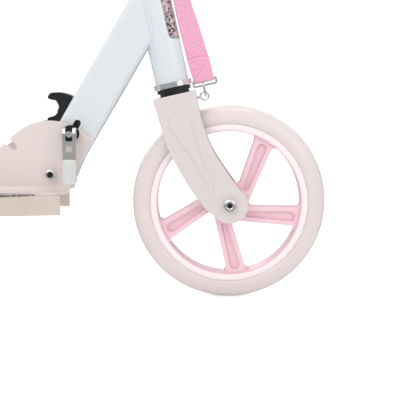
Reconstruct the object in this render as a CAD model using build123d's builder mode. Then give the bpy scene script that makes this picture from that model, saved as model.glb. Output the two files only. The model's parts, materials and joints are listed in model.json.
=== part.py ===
"""Folding big-wheel kick scooter for children, modelled as separate pieces.

Frame: +X forward, +Z up, +Y to the rider's left, millimetres. The origin is on the ground,
midway between the two wheels.
"""
from build123d import *
import math
import os

os.makedirs("parts", exist_ok=True)

# ---------------------------------------------------------------- driving dimensions
wheelbase = 650.0
wheel_r = 100.0
rim_r = 81.0
rim_inner_r = 74.0
spoke_count = 5
spoke_offset = 11.0  # each spoke's centre line passes this far from the axle

front_x = wheelbase / 2
rear_x = -wheelbase / 2

deck_top = 111.0
deck_bottom = 90.5
deck_front_x = front_x - 171.0
deck_rear_x = -205.0
deck_sheet = 2.5
deck_front_width = 72.0
deck_width = 108.0
deck_foot_width = 84.0  # width at the bottom edge of the flared skirts

pivot_x = front_x - 181.8
pivot_z = 130.7
neck_angle = 59.3
neck_height = 40.0
neck_width = 30.0
neck_wall = 2.0
cheek_inner = 17.5
cheek_sheet = 3.0
cheek_outer = cheek_inner + cheek_sheet
cheek_r = 54.5
fold_angle = 80.0
skewer_along = 46.4  # skewer's place on the neck, from the pivot
skewer_behind = 3.0  # and behind the neck's centre line
skewer_r = 3.0
latch_travel = 12.0

head_x = front_x - 58.5  # bottom centre of the head tube
head_z = 223.5
head_angle = 77.5
head_length = 130.0
head_r = 17.0
head_bore_r = 15.2
column_r = 14.0
column_bore_r = 12.6
column_top = 400.0
crown_level = -12.8  # fork crown's top, along the steering axis from the head tube's bottom
stem_r = 12.5
stem_low = 240.0
bar_level = 693.0
bar_r = 11.1
bar_half = 190.0
grip_length = 112.0

eye_level = -20.5  # strap eye on the front of the crown
upper_eye_level = 371.5  # strap eye on the front of the clamp collar
fork_gap = 19.5  # half the space between the fork legs
fork_half = 29.0
axle_r = 4.0
axle_play = 0.05


# ---------------------------------------------------------------- planes and small helpers
def turned(angle):
    """Unit vector in the side view, angle in degrees from +X towards +Z."""
    return Vector(math.cos(math.radians(angle)), 0, math.sin(math.radians(angle)))


neck_dir = turned(neck_angle)
neck_back = turned(neck_angle + 90)
pivot = Vector(pivot_x, 0, pivot_z)
steer_dir = turned(180 - head_angle)
steer_ahead = turned(90 - head_angle)
head_base = Vector(head_x, 0, head_z)
skewer_at = pivot + neck_dir * skewer_along + neck_back * skewer_behind


def side_plane(x=0.0, z=0.0, y=0.0):
    """Side view: local x forward, local y up, normal towards -Y."""
    return Plane(origin=(x, y, z), x_dir=(1, 0, 0), z_dir=(0, -1, 0))


def neck_side(along=0.0, behind=0.0, y=0.0):
    """Side view turned with the neck: local x up the neck, local y behind it."""
    centre = pivot + neck_dir * along + neck_back * behind
    return Plane(origin=(centre.X, y, centre.Z), x_dir=neck_dir, z_dir=(0, -1, 0))


def neck_plane(along):
    """Cross-section of the neck: local x ahead of it, local y towards +Y."""
    return Plane(origin=pivot + neck_dir * along, x_dir=neck_back * -1, z_dir=neck_dir)


def steer_plane(level):
    """Cross-section of the steering column: local x ahead, local y towards +Y."""
    return Plane(origin=head_base + steer_dir * level, x_dir=steer_ahead, z_dir=steer_dir)


def steer_point(level, ahead, y=0.0):
    point = head_base + steer_dir * level + steer_ahead * ahead
    return Vector(point.X, y, point.Z)


def across(centre, y_high):
    """Plane square to Y through the centre, facing -Y, at height y_high on the Y axis."""
    return Plane(origin=(centre.X, y_high, centre.Z), x_dir=(1, 0, 0), z_dir=(0, -1, 0))


def rod(plane, radius, length, mode=Mode.ADD):
    """Round bar from the plane along its normal."""
    with BuildSketch(plane) as outline:
        Circle(radius)
    extrude(outline.sketch, amount=length, mode=mode)


def rod_across(centre, radius, y_low, y_high, mode=Mode.ADD):
    rod(across(centre, y_high), radius, y_high - y_low, mode)


def ring_across(centre, outer, inner, y_low, y_high):
    with BuildSketch(across(centre, y_high)) as outline:
        Circle(outer)
        Circle(inner, mode=Mode.SUBTRACT)
    extrude(outline.sketch, amount=y_high - y_low)


def ring_on_column(level, outer, inner, length):
    with BuildSketch(steer_plane(level)) as outline:
        Circle(outer)
        Circle(inner, mode=Mode.SUBTRACT)
    extrude(outline.sketch, amount=length)


def nut_across(centre, across_flats, bore, y_low, y_high):
    with BuildSketch(across(centre, y_high)) as outline:
        RegularPolygon(across_flats / 2, 6, major_radius=False)
        Circle(bore, mode=Mode.SUBTRACT)
    extrude(outline.sketch, amount=y_high - y_low)


def socket_head(centre, radius, y_face, height, socket):
    """Domed bolt head on the -Y side with a hexagonal socket."""
    rod_across(centre, radius, y_face - height, y_face)
    with BuildSketch(across(centre, y_face - height + socket * 0.6)) as key:
        RegularPolygon(socket / 2, 6, major_radius=False)
    extrude(key.sketch, amount=height, mode=Mode.SUBTRACT)


# ---------------------------------------------------------------- wheels
def make_tyre(x):
    """Moulded tyre: flat crown, round shoulders, seated on the rim."""
    crown_half = 4.0
    seat_half = 11.5
    rise = wheel_r - rim_r
    mid_r = (wheel_r**2 - rim_r**2 - (seat_half - crown_half) ** 2) / (2 * rise)
    bulge = wheel_r - mid_r
    section = Plane(origin=(x, 0, wheel_r), x_dir=(0, 1, 0), z_dir=(1, 0, 0))
    with BuildPart() as tyre:
        with BuildSketch(section):
            with BuildLine():
                Line((-seat_half, rim_r), (seat_half, rim_r))
                ThreePointArc((seat_half, rim_r), (crown_half + bulge, mid_r), (crown_half, wheel_r))
                Line((crown_half, wheel_r), (-crown_half, wheel_r))
                ThreePointArc((-crown_half, wheel_r), (-crown_half - bulge, mid_r), (-seat_half, rim_r))
            make_face()
        revolve(axis=Axis((x, 0, wheel_r), (0, 1, 0)))
    return tyre.part


def make_hub(x, first_angle):
    """Moulded hub: rim, boss with two bearing seats, swirled spokes with pockets on both sides."""
    boss_r = 20.0
    spoke_half = 8.5
    pocket_depth = 4.0
    spoke_angles = [first_angle + 360 / spoke_count * k for k in range(spoke_count)]
    plane = side_plane(x, wheel_r)
    with BuildPart() as hub:
        with BuildSketch(plane) as web:
            for angle in spoke_angles:
                with Locations(Location((0, 0, 0), (0, 0, angle))):
                    with Locations((0, -spoke_offset)):
                        Polygon((0, -7.3), (80, -10.3), (80, 10.3), (0, 7.3), align=None)
            Circle(boss_r - 1.5)
            Circle(rim_inner_r + 1, mode=Mode.INTERSECT)
        extrude(amount=spoke_half, both=True)
        with BuildSketch(plane) as rim_core:
            Circle(rim_r - 1)
            Circle(rim_inner_r, mode=Mode.SUBTRACT)
        extrude(amount=spoke_half, both=True)
        centre = Vector(x, 0, wheel_r)
        corners = [
            edge
            for edge in hub.edges().filter_by(Axis.Y)
            if edge.length > spoke_half and (edge.center() - centre).length < rim_inner_r + 0.5
        ]
        fillet(corners, radius=4.5)
        with BuildSketch(plane) as rim:
            Circle(rim_r)
            Circle(rim_inner_r, mode=Mode.SUBTRACT)
        extrude(amount=12.0, both=True)
        with BuildSketch(plane) as boss:
            Circle(boss_r)
        extrude(amount=13.5, both=True)
        for side in (-1, 1):
            face_plane = side_plane(x, wheel_r, side * spoke_half)
            with BuildSketch(face_plane) as pockets:
                for angle in spoke_angles:
                    with Locations(Location((0, 0, 0), (0, 0, angle))):
                        with Locations((0, -spoke_offset)):
                            Polygon((21, -3.4), (64, -5.2), (64, 5.2), (21, 3.4), align=None)
                            with Locations((21, 0)):
                                Circle(3.4)
                            with Locations((64, 0)):
                                Circle(5.2)
            extrude(amount=side * pocket_depth, mode=Mode.SUBTRACT)
        rod_across(Vector(x, 0, wheel_r), 7.0, -20, 20, Mode.SUBTRACT)
        rod_across(Vector(x, 0, wheel_r), 11.0, 6.3, 20, Mode.SUBTRACT)
        rod_across(Vector(x, 0, wheel_r), 11.0, -20, -6.3, Mode.SUBTRACT)
    return hub.part


def make_bearings(x):
    """Two shielded ball bearings, 22 x 8 x 7, with a groove between their rings."""
    centre = Vector(x, 0, wheel_r)
    with BuildPart() as bearings:
        for low in (-13.3, 6.3):
            ring_across(centre, 11.0, axle_r + axle_play, low, low + 7)
            for face in (low, low + 6.6):
                with BuildSketch(across(centre, face + 0.4)) as groove:
                    Circle(9.2)
                    Circle(6.0, mode=Mode.SUBTRACT)
                extrude(groove.sketch, amount=0.4, mode=Mode.SUBTRACT)
    return bearings.part


def make_axle(x, half_width):
    """Axle bolt: domed socket head on the -Y side, threaded end on the +Y side."""
    centre = Vector(x, 0, wheel_r)
    with BuildPart() as axle:
        rod_across(centre, axle_r, -half_width, half_width + 7)
        socket_head(centre, 6.6, -half_width, 4.0, 5.0)
        rims = axle.faces().sort_by(Axis.Y)[0].outer_wire().edges()
        fillet(rims, radius=1.6)
    return axle.part


def make_spacers(x, gap_half):
    """Two spacers between the bearings and the fork or stays, in fixed contact with the axle."""
    centre = Vector(x, 0, wheel_r)
    with BuildPart() as spacers:
        ring_across(centre, 6.0, axle_r, 13.6, gap_half)
        ring_across(centre, 6.0, axle_r, -gap_half, -13.6)
    return spacers.part


stay_gap = 20.0
stay_sheet = 5.0
for end, x, first_angle, gap_half, outer in (
    ("front", front_x, -3.0, fork_gap, fork_half),
    ("rear", rear_x, 17.0, stay_gap, stay_gap + stay_sheet),
):
    pieces = {
        "tyre": make_tyre(x),
        "hub": make_hub(x, first_angle),
        "bearings": make_bearings(x),
        "axle": make_axle(x, outer),
        "spacers": make_spacers(x, gap_half),
    }
    for piece, solid in pieces.items():
        solid.label = f"{end}_{piece}"
        export_step(solid, f"parts/{end}_{piece}.step")

nut_flats = 13.0
nut_height = 6.0
with BuildPart() as front_axle_nut:
    nut_across(Vector(front_x, 0, wheel_r), nut_flats, axle_r, fork_half, fork_half + nut_height)
front_axle_nut.part.label = "front_axle_nut"
export_step(front_axle_nut.part, "parts/front_axle_nut.step")

# One size of nut holds the rear axle and the fold pivot.
stay_outer = stay_gap + stay_sheet
with BuildPart() as frame_nuts:
    nut_across(Vector(rear_x, 0, wheel_r), nut_flats, axle_r, stay_outer, stay_outer + nut_height)
    nut_across(pivot, nut_flats, axle_r, cheek_outer, cheek_outer + nut_height)
frame_nuts.part.label = "frame_nuts"
export_step(frame_nuts.part, "parts/frame_nuts.step")

# ---------------------------------------------------------------- deck
def deck_section(x, top_half, foot_half, inset):
    """Cross-section of the pressing at one station, or of its hollow when inset."""
    drop = 0.0 if inset == 0 else 10.0
    slope = (top_half - foot_half) / (deck_top - deck_bottom)
    foot = foot_half - inset - slope * drop
    with BuildSketch(Plane(origin=(x, 0, 0), x_dir=(0, 1, 0), z_dir=(1, 0, 0))) as section:
        with BuildLine():
            Polyline(
                (-top_half + inset, deck_top - inset),
                (top_half - inset, deck_top - inset),
                (foot, deck_bottom - drop),
                (-foot, deck_bottom - drop),
                close=True,
            )
        make_face()
    return section.sketch


flare_length = 62.0
flare_steps = 5
deck_stations = []
for step in range(flare_steps + 1):
    share = step / flare_steps
    blend = (1 - math.cos(math.pi * share)) / 2
    top_half = (deck_front_width + (deck_width - deck_front_width) * blend) / 2
    foot_half = (deck_front_width + (deck_foot_width - deck_front_width) * blend) / 2
    deck_stations.append((deck_front_x - flare_length * share, top_half, foot_half))
deck_stations.append((deck_rear_x + 45, deck_width / 2, deck_foot_width / 2))
deck_stations.append((deck_rear_x, deck_front_width / 2 + 6, deck_front_width / 2 + 2))

with BuildPart() as deck_channel:
    for station, following in zip(deck_stations, deck_stations[1:]):
        loft([deck_section(*station, 0), deck_section(*following, 0)], ruled=True)
    for station, following in zip(deck_stations, deck_stations[1:]):
        hollow = [deck_section(*station, deck_sheet), deck_section(*following, deck_sheet)]
        loft(hollow, ruled=True, mode=Mode.SUBTRACT)
deck_channel.part.label = "deck_channel"
export_step(deck_channel.part, "parts/deck_channel.step")

tape_thickness = 1.0
foot_front_x = front_x - 165.0
foot_rear_x = front_x - 300.0
foot_half_width = 33.0
tape_inset = 5.0
with BuildPart() as grip_tape:
    with BuildSketch(Plane.XY.offset(deck_top)):
        with BuildLine():
            left = [(x, top_half - tape_inset) for x, top_half, _ in deck_stations]
            right = [(x, -y) for x, y in reversed(left)]
            Polyline(*left, *right, close=True)
        make_face()
        with BuildLine():
            Polyline(
                (deck_front_x - 12, -80),
                (deck_front_x + 40, -80),
                (deck_front_x + 40, 80),
                (deck_front_x - 12, 80),
                close=True,
            )
        make_face(mode=Mode.SUBTRACT)
        with Locations(((foot_front_x + foot_rear_x) / 2, 0)):
            Rectangle(foot_front_x - foot_rear_x + 0.6, 2 * foot_half_width + 0.6, mode=Mode.SUBTRACT)
        with Locations((deck_rear_x + 14, 0)):
            Rectangle(40, 44, mode=Mode.SUBTRACT)
    extrude(amount=tape_thickness)
grip_tape.part.label = "grip_tape"
export_step(grip_tape.part, "parts/grip_tape.step")

# Fold bracket: a foot plate on the deck and two cheeks. The rim between the two notches is
# cut down to the bottom of the notches, so that the skewer has a free way from one to the other.
foot_sheet = 2.5
notch_r = (skewer_at - pivot).length
notch_angle = math.degrees(math.atan2(skewer_at.Z - pivot.Z, skewer_at.X - pivot.X))
notch_width = 2 * skewer_r + 1.8
with BuildPart() as fold_bracket:
    with BuildSketch(Plane.XY.offset(deck_top)):
        with Locations(((foot_front_x + foot_rear_x) / 2, 0)):
            RectangleRounded(foot_front_x - foot_rear_x, 2 * foot_half_width, 5)
    extrude(amount=foot_sheet)
    for side in (-1, 1):
        with BuildSketch(side_plane(pivot_x, pivot_z, side * (cheek_inner + cheek_sheet / 2))):
            with BuildLine():
                Polyline((41, 36), (18.8, deck_top - pivot_z), (-118, deck_top - pivot_z))
                Spline(
                    (-118, deck_top - pivot_z),
                    (-84, -3),
                    (-62, 17),
                    (-46.5, 31.4),
                    tangents=[(1, 0.15), (0.75, 0.85)],
                )
                Line((-46.5, 31.4), (-40.5, 36.5))
                ThreePointArc((-40.5, 36.5), (0, cheek_r), (41, 36))
            make_face()
        extrude(amount=cheek_sheet / 2, both=True)
    with BuildSketch(side_plane(pivot_x, pivot_z)):
        with BuildLine():
            low_r = notch_r - notch_width / 2
            high_r = cheek_r + 12
            first = turned(notch_angle)
            last = turned(notch_angle + fold_angle)
            middle = turned(notch_angle + fold_angle / 2)
            Line((first.X * low_r, first.Z * low_r), (first.X * high_r, first.Z * high_r))
            Line((first.X * high_r, first.Z * high_r), (middle.X * high_r * 1.6, middle.Z * high_r * 1.6))
            Line((middle.X * high_r * 1.6, middle.Z * high_r * 1.6), (last.X * high_r, last.Z * high_r))
            Line((last.X * high_r, last.Z * high_r), (last.X * low_r, last.Z * low_r))
            ThreePointArc(
                (last.X * low_r, last.Z * low_r),
                (middle.X * low_r, middle.Z * low_r),
                (first.X * low_r, first.Z * low_r),
            )
        make_face()
        for angle in (notch_angle, notch_angle + fold_angle):
            with PolarLocations(notch_r + 10, 1, start_angle=angle):
                Rectangle(20, notch_width)
            with PolarLocations(notch_r, 1, start_angle=angle):
                Circle(notch_width / 2)
    extrude(amount=40, both=True, mode=Mode.SUBTRACT)
    rod_across(pivot, 4.05, -40, 40, Mode.SUBTRACT)
    outer_roots = [
        edge
        for edge in fold_bracket.edges().filter_by(Axis.X)
        if abs(abs(edge.center().Y) - cheek_outer) < 0.1
        and abs(edge.center().Z - deck_top - foot_sheet) < 0.1
    ]
    fillet(outer_roots, radius=6.0)
fold_bracket.part.label = "fold_bracket"
export_step(fold_bracket.part, "parts/fold_bracket.step")

with BuildPart() as pivot_bolt:
    rod_across(pivot, axle_r, -cheek_outer, cheek_outer + 7)
    socket_head(pivot, 5.6, -cheek_outer, 5.0, 5.0)
    fillet(pivot_bolt.faces().sort_by(Axis.Y)[0].outer_wire().edges(), radius=2.0)
pivot_bolt.part.label = "pivot_bolt"
export_step(pivot_bolt.part, "parts/pivot_bolt.step")

# ---------------------------------------------------------------- neck and head tube
barrel_r = 14.0
barrel_half = 15.4
bush_r = 6.0
slot_low = skewer_along - skewer_r - 0.4
slot_high = skewer_along + latch_travel + skewer_r + 0.4
with BuildPart() as neck_tube:
    with BuildSketch(neck_plane(0)):
        RectangleRounded(neck_height, neck_width, 5)
    extrude(amount=250)
    rod_across(pivot, barrel_r, -barrel_half, barrel_half)
    with BuildSketch(neck_plane(6)) as tube_hollow:
        RectangleRounded(neck_height - 2 * neck_wall, neck_width - 2 * neck_wall, 3)
    extrude(amount=260, mode=Mode.SUBTRACT)
    rod_across(pivot, barrel_r, -barrel_half, barrel_half)
    rod_across(pivot, bush_r, -30, 30, Mode.SUBTRACT)
    rod(steer_plane(-60), head_r, 300, Mode.SUBTRACT)
    with BuildSketch(steer_plane(-60)) as beyond:
        with Locations((60, 0)):
            Rectangle(120, 80)
    extrude(amount=300, mode=Mode.SUBTRACT)
    with BuildSketch(neck_side((slot_low + slot_high) / 2, skewer_behind)):
        SlotOverall(slot_high - slot_low, 2 * skewer_r + 0.8)
    extrude(amount=40, both=True, mode=Mode.SUBTRACT)
    with BuildSketch(neck_side(65, 20)):
        Rectangle(34, 8)
    extrude(amount=4.4, both=True, mode=Mode.SUBTRACT)
neck_tube.part.label = "neck_tube"
export_step(neck_tube.part, "parts/neck_tube.step")

with BuildPart() as pivot_bushes:
    for low, high, face in ((-barrel_half, -5, -17.3), (5, barrel_half, 15.5)):
        ring_across(pivot, bush_r, axle_r + axle_play, low, high)
        ring_across(pivot, 11.0, axle_r + axle_play, face, face + 1.8)
pivot_bushes.part.label = "pivot_bushes"
export_step(pivot_bushes.part, "parts/pivot_bushes.step")

with BuildPart() as head_tube:
    ring_on_column(0, head_r, head_bore_r, head_length)
head_tube.part.label = "head_tube"
export_step(head_tube.part, "parts/head_tube.step")

# Headset cups are pressed in both ends of the head tube, each with its ball bearing.
cup_r = 19.4
with BuildPart() as headset_cups:
    for low, lip in ((-5.0, 0.0), (head_length, head_length - 8)):
        ring_on_column(low, cup_r, head_bore_r, 5)
        ring_on_column(lip, head_bore_r, 14.6, 8)
    with BuildSketch(steer_plane(-2.9)) as rib:
        Circle(cup_r + 1)
        Circle(cup_r - 0.8, mode=Mode.SUBTRACT)
    extrude(rib.sketch, amount=0.8, mode=Mode.SUBTRACT)
headset_cups.part.label = "headset_cups"
export_step(headset_cups.part, "parts/headset_cups.step")

with BuildPart() as crown_seal:
    ring_on_column(crown_level, 15.2, column_r, 3.3)
    ring_on_column(crown_level + 3.3, 17.3, column_r, 4.0)
crown_seal.part.label = "crown_seal"
export_step(crown_seal.part, "parts/crown_seal.step")

with BuildPart() as headset_bearings:
    for low in (-4.8, head_length + 0.2):
        ring_on_column(low, head_bore_r, column_r + axle_play, 4.6)
headset_bearings.part.label = "headset_bearings"
export_step(headset_bearings.part, "parts/headset_bearings.step")

# ---------------------------------------------------------------- latch
hook_half = 8.0
with BuildPart() as latch_slider:
    with BuildSketch(neck_side()):
        with BuildLine():
            Polyline((38, -8), (56, -8), (66, 8), (66, 16.8), (38, 16.8), close=True)
        make_face()
    extrude(amount=12.0, both=True)
    rod_across(skewer_at, skewer_r, -20, 20, Mode.SUBTRACT)
    rod(Plane(origin=pivot + neck_dir * 60 + neck_back * 30, z_dir=neck_back * -1), 2.0, 26, Mode.SUBTRACT)
latch_slider.part.label = "latch_slider"
export_step(latch_slider.part, "parts/latch_slider.step")

with BuildPart() as release_hook:
    with BuildSketch(neck_side()):
        with BuildLine():
            Line((47, 20.4), (78, 20.4))
            Line((78, 20.4), (78.5, 23))
            Spline((78.5, 23), (75.5, 34), (70.5, 42.6))
            Line((70.5, 42.6), (63, 41.8))
            Spline((63, 41.8), (66.8, 34), (62, 27.5), (54, 26.6), (47.5, 32.5))
            Line((47.5, 32.5), (43.5, 31.3))
            Spline((43.5, 31.3), (44.5, 25), (47, 20.4))
        make_face()
    extrude(amount=hook_half, both=True)
    with BuildSketch(neck_side()) as stem:
        with BuildLine():
            Polyline((52, 16.8), (66, 16.8), (66, 21), (52, 21), close=True)
        make_face()
    extrude(amount=4.0, both=True)
    rod(Plane(origin=pivot + neck_dir * 60 + neck_back * 50, z_dir=neck_back * -1), 2.0, 40, Mode.SUBTRACT)
    rod(Plane(origin=pivot + neck_dir * 60 + neck_back * 50, z_dir=neck_back * -1), 3.6, 24.6, Mode.SUBTRACT)
release_hook.part.label = "release_hook"
export_step(release_hook.part, "parts/release_hook.step")

with BuildPart() as hook_screw:
    rod(Plane(origin=pivot + neck_dir * 60 + neck_back * 25.4, z_dir=neck_back * -1), 2.0, 19)
    rod(Plane(origin=pivot + neck_dir * 60 + neck_back * 28.4, z_dir=neck_back * -1), 3.5, 3.0)
hook_screw.part.label = "hook_screw"
export_step(hook_screw.part, "parts/hook_screw.step")

cam_axis_y = -31.0
with BuildPart() as skewer:
    rod_across(skewer_at, skewer_r, cam_axis_y + 2.5, 31.0)
    rod_across(skewer_at, 3.2, cam_axis_y - 4, cam_axis_y + 2.5)
    pin_plane = Plane(origin=(skewer_at.X - 10, cam_axis_y, skewer_at.Z), z_dir=(1, 0, 0))
    rod(pin_plane, 2.0, 20, Mode.SUBTRACT)
skewer.part.label = "skewer"
export_step(skewer.part, "parts/skewer.step")

with BuildPart() as cam_washers:
    ring_across(skewer_at, 8.6, skewer_r, cheek_outer + 0.3, cheek_outer + 2.5)
    ring_across(skewer_at, 8.6, skewer_r, -cheek_outer - 2.5, -cheek_outer - 0.3)
cam_washers.part.label = "cam_washers"
export_step(cam_washers.part, "parts/cam_washers.step")

with BuildPart() as skewer_nut:
    nut_across(skewer_at, 10.0, skewer_r, cheek_outer + 2.5, cheek_outer + 8)
skewer_nut.part.label = "skewer_nut"
export_step(skewer_nut.part, "parts/skewer_nut.step")

# Fold lever: a cam head straddles the skewer's end and a plate with a window hangs from it.
lever_half = 6.6
lever_length = 25.0  # metal plate, from the cam's axis to the sleeve
tang_width = 9.0  # narrow end of the plate inside the sleeve
sleeve_length = 25.2
cam_r = 6.4
lever_face = cam_axis_y - 1.5
with BuildPart() as fold_lever:
    cam_side = Plane(origin=(skewer_at.X - lever_half, cam_axis_y, skewer_at.Z), z_dir=(1, 0, 0))
    rod(cam_side, cam_r, 2 * lever_half)
    with BuildSketch(side_plane(0, 0, lever_face)):
        with Locations((skewer_at.X, skewer_at.Z - lever_length / 2)):
            Rectangle(2 * lever_half, lever_length)
    extrude(amount=3.4)
    with BuildSketch(side_plane(0, 0, lever_face)):
        with Locations((skewer_at.X, skewer_at.Z - 14.5)):
            RectangleRounded(6.4, 6.0, 1.2)
    extrude(amount=12, both=True, mode=Mode.SUBTRACT)
    with BuildSketch(side_plane(0, 0, lever_face)):
        with Locations((skewer_at.X, skewer_at.Z - lever_length - 6)):
            Rectangle(tang_width, 24)
    extrude(amount=3.4)
    with BuildSketch(side_plane(0, 0, cam_axis_y)):
        with Locations((skewer_at.X, skewer_at.Z + 1)):
            Rectangle(7.0, 16)
    extrude(amount=20, both=True, mode=Mode.SUBTRACT)
    rod(Plane(origin=(skewer_at.X - 10, cam_axis_y, skewer_at.Z), z_dir=(1, 0, 0)), 2.05, 20, Mode.SUBTRACT)
fold_lever.part.label = "fold_lever"
export_step(fold_lever.part, "parts/fold_lever.step")

with BuildPart() as lever_sleeve:
    with BuildSketch(side_plane(0, 0, lever_face + 2.6)):
        with Locations((skewer_at.X, skewer_at.Z - lever_length - 0.2 - sleeve_length / 2)):
            RectangleRounded(14.4, sleeve_length, 3)
    extrude(amount=8.6)
    fillet(lever_sleeve.edges().filter_by(Axis.Y, reverse=True), radius=1.4)
    with BuildSketch(side_plane(0, 0, lever_face)):
        with Locations((skewer_at.X, skewer_at.Z - lever_length - 6)):
            Rectangle(tang_width, 24)
    extrude(amount=3.4, mode=Mode.SUBTRACT)
lever_sleeve.part.label = "lever_sleeve"
export_step(lever_sleeve.part, "parts/lever_sleeve.step")

with BuildPart() as lever_pin:
    rod(Plane(origin=(skewer_at.X - 7, cam_axis_y, skewer_at.Z), z_dir=(1, 0, 0)), 2.0, 14)
lever_pin.part.label = "lever_pin"
export_step(lever_pin.part, "parts/lever_pin.step")

spring_low = 66.3
spring_length = 27.0
with BuildPart() as latch_spring:
    spring_start = pivot + neck_dir * spring_low + neck_back * 12.5
    coil_start = spring_start + neck_dir
    coil = Helix(pitch=4.5, height=spring_length - 2, radius=3.6, center=coil_start, direction=neck_dir)
    with BuildSketch(Plane(origin=coil @ 0, z_dir=coil % 0)):
        Circle(0.5)
    sweep(path=coil, is_frenet=True)
latch_spring.part.label = "latch_spring"
export_step(latch_spring.part, "parts/latch_spring.step")

with BuildPart() as spring_pin:
    pin_half = neck_width / 2 - neck_wall
    rod_across(pivot + neck_dir * 96 + neck_back * 3, 2.0, -pin_half, pin_half)
spring_pin.part.label = "spring_pin"
export_step(spring_pin.part, "parts/spring_pin.step")

# ---------------------------------------------------------------- fork and steering column
crown_back = steer_point(crown_level, -21.8) - Vector(front_x, 0, wheel_r)
crown_ahead = steer_point(crown_level, 21.8) - Vector(front_x, 0, wheel_r)
end_r = 19.2
arch_r = 105.0
fork_side = side_plane(front_x, wheel_r)


with BuildPart() as fork:
    with BuildSketch(fork_side):
        with BuildLine():
            Line((crown_back.X, crown_back.Z), (crown_ahead.X, crown_ahead.Z))
            Polyline(
                (crown_ahead.X, crown_ahead.Z),
                (-30.5, 95),
                (-25, 76),
                (-16.5, 55.5),
                (-4, 35.5),
                (10.5, 15),
            )
            Polyline(
                (10.5, 15), (18.6, 3.5), (18.6, -5), (12.5, -15.5), (2.5, -18.8), (-9.5, -17), (-19.5, -9.5)
            )
            Polyline(
                (-19.5, -9.5),
                (-39, 15),
                (-51.5, 35.5),
                (-62, 55.7),
                (-69, 76),
                (-74.6, 96),
                (crown_back.X, crown_back.Z),
            )
        make_face()
    extrude(amount=fork_half, both=True)
    with BuildSketch(fork_side):
        Circle(arch_r)
    extrude(amount=fork_gap, both=True, mode=Mode.SUBTRACT)
    rod(steer_plane(crown_level - 30), column_r, 60, Mode.SUBTRACT)
    rod_across(Vector(front_x, 0, wheel_r), axle_r, -60, 60, Mode.SUBTRACT)
    rod(Plane(origin=steer_point(eye_level, 30), z_dir=steer_ahead * -1), 1.6, 14.6, Mode.SUBTRACT)
fork.part.label = "fork"
export_step(fork.part, "parts/fork.step")

with BuildPart() as column_tube:
    ring_on_column(crown_level - 7, column_r, column_bore_r, column_top - crown_level + 7)
    with BuildSketch(steer_plane(column_top - 30)):
        with Locations((-column_r, 0)):
            Rectangle(8, 3)
    extrude(amount=40, mode=Mode.SUBTRACT)
column_tube.part.label = "column_tube"
export_step(column_tube.part, "parts/column_tube.step")

with BuildPart() as headset_locknut:
    with BuildSketch(steer_plane(head_length + 5.3)):
        RegularPolygon(18.5, 8, major_radius=False)
        Circle(column_r, mode=Mode.SUBTRACT)
    extrude(amount=9)
headset_locknut.part.label = "headset_locknut"
export_step(headset_locknut.part, "parts/headset_locknut.step")

# ---------------------------------------------------------------- clamp at the column's top
clamp_level = column_top - 32
clamp_height = 30.0
clamp_bolt_at = steer_point(clamp_level + clamp_height / 2, -column_r - 10)
with BuildPart() as clamp_collar:
    with BuildSketch(steer_plane(clamp_level)):
        Circle(column_r + 4)
        with Locations((-column_r - 9, 0)):
            Rectangle(18, 18)
        Circle(column_r, mode=Mode.SUBTRACT)
        with Locations((-column_r - 10, 0)):
            Rectangle(24, 3, mode=Mode.SUBTRACT)
    extrude(amount=clamp_height)
    rod_across(clamp_bolt_at, 3.0, -30, 30, Mode.SUBTRACT)
    rod(Plane(origin=steer_point(upper_eye_level, 30), z_dir=steer_ahead * -1), 1.6, 14.8, Mode.SUBTRACT)
clamp_collar.part.label = "clamp_collar"
export_step(clamp_collar.part, "parts/clamp_collar.step")

clamp_pin_y = -16.0
clamp_pin_at = clamp_bolt_at + Vector(0, clamp_pin_y, 0)
with BuildPart() as clamp_bolt:
    rod_across(clamp_bolt_at, 3.0, clamp_pin_y - 4, 16)
    rod(Plane(origin=clamp_pin_at - steer_dir * 10, z_dir=steer_dir), 2.0, 20, Mode.SUBTRACT)
clamp_bolt.part.label = "clamp_bolt"
export_step(clamp_bolt.part, "parts/clamp_bolt.step")

with BuildPart() as clamp_nut:
    nut_across(clamp_bolt_at, 10.0, 3.0, 9.0, 14.5)
clamp_nut.part.label = "clamp_nut"
export_step(clamp_nut.part, "parts/clamp_nut.step")

with BuildPart() as clamp_pin:
    rod(Plane(origin=clamp_pin_at - steer_dir * 9, z_dir=steer_dir), 2.0, 18)
clamp_pin.part.label = "clamp_pin"
export_step(clamp_pin.part, "parts/clamp_pin.step")

# The clamp lever's cam straddles the bolt; its handle wraps the collar on the -Y side.
clamp_cam_r = 6.6
with BuildPart() as clamp_lever:
    with BuildSketch(steer_plane(clamp_level + clamp_height / 2 - 8.5)):
        with Locations((-column_r - 10, clamp_pin_y)):
            Circle(clamp_cam_r)
        with BuildLine():
            ThreePointArc((-24, -22.6), (-4, -25.5), (20, -24))
            Line((20, -24), (20, -20.5))
            ThreePointArc((20, -20.5), (-4, -21.5), (-20, -18.0))
            Line((-20, -18.0), (-24, -22.6))
        make_face()
    extrude(amount=17)
    with BuildSketch(steer_plane(clamp_level + clamp_height / 2 - 4)):
        with Locations((-column_r - 12, clamp_pin_y + 1)):
            Rectangle(18, 16)
    extrude(amount=8, mode=Mode.SUBTRACT)
    rod(Plane(origin=clamp_pin_at - steer_dir * 12, z_dir=steer_dir), 2.05, 24, Mode.SUBTRACT)
clamp_lever.part.label = "clamp_lever"
export_step(clamp_lever.part, "parts/clamp_lever.step")

# ---------------------------------------------------------------- T-bar
with BuildPart() as stem_shim:
    ring_on_column(column_top, column_r + 1.5, stem_r + 0.08, 4)
stem_shim.part.label = "stem_shim"
export_step(stem_shim.part, "parts/stem_shim.step")

bar_at = steer_point(bar_level, 0)
with BuildPart() as stem_tube:
    ring_on_column(stem_low, stem_r, stem_r - 1.6, bar_level - stem_low)
    rod_across(bar_at, bar_r, -60, 60, Mode.SUBTRACT)
stem_tube.part.label = "stem_tube"
export_step(stem_tube.part, "parts/stem_tube.step")

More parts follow.
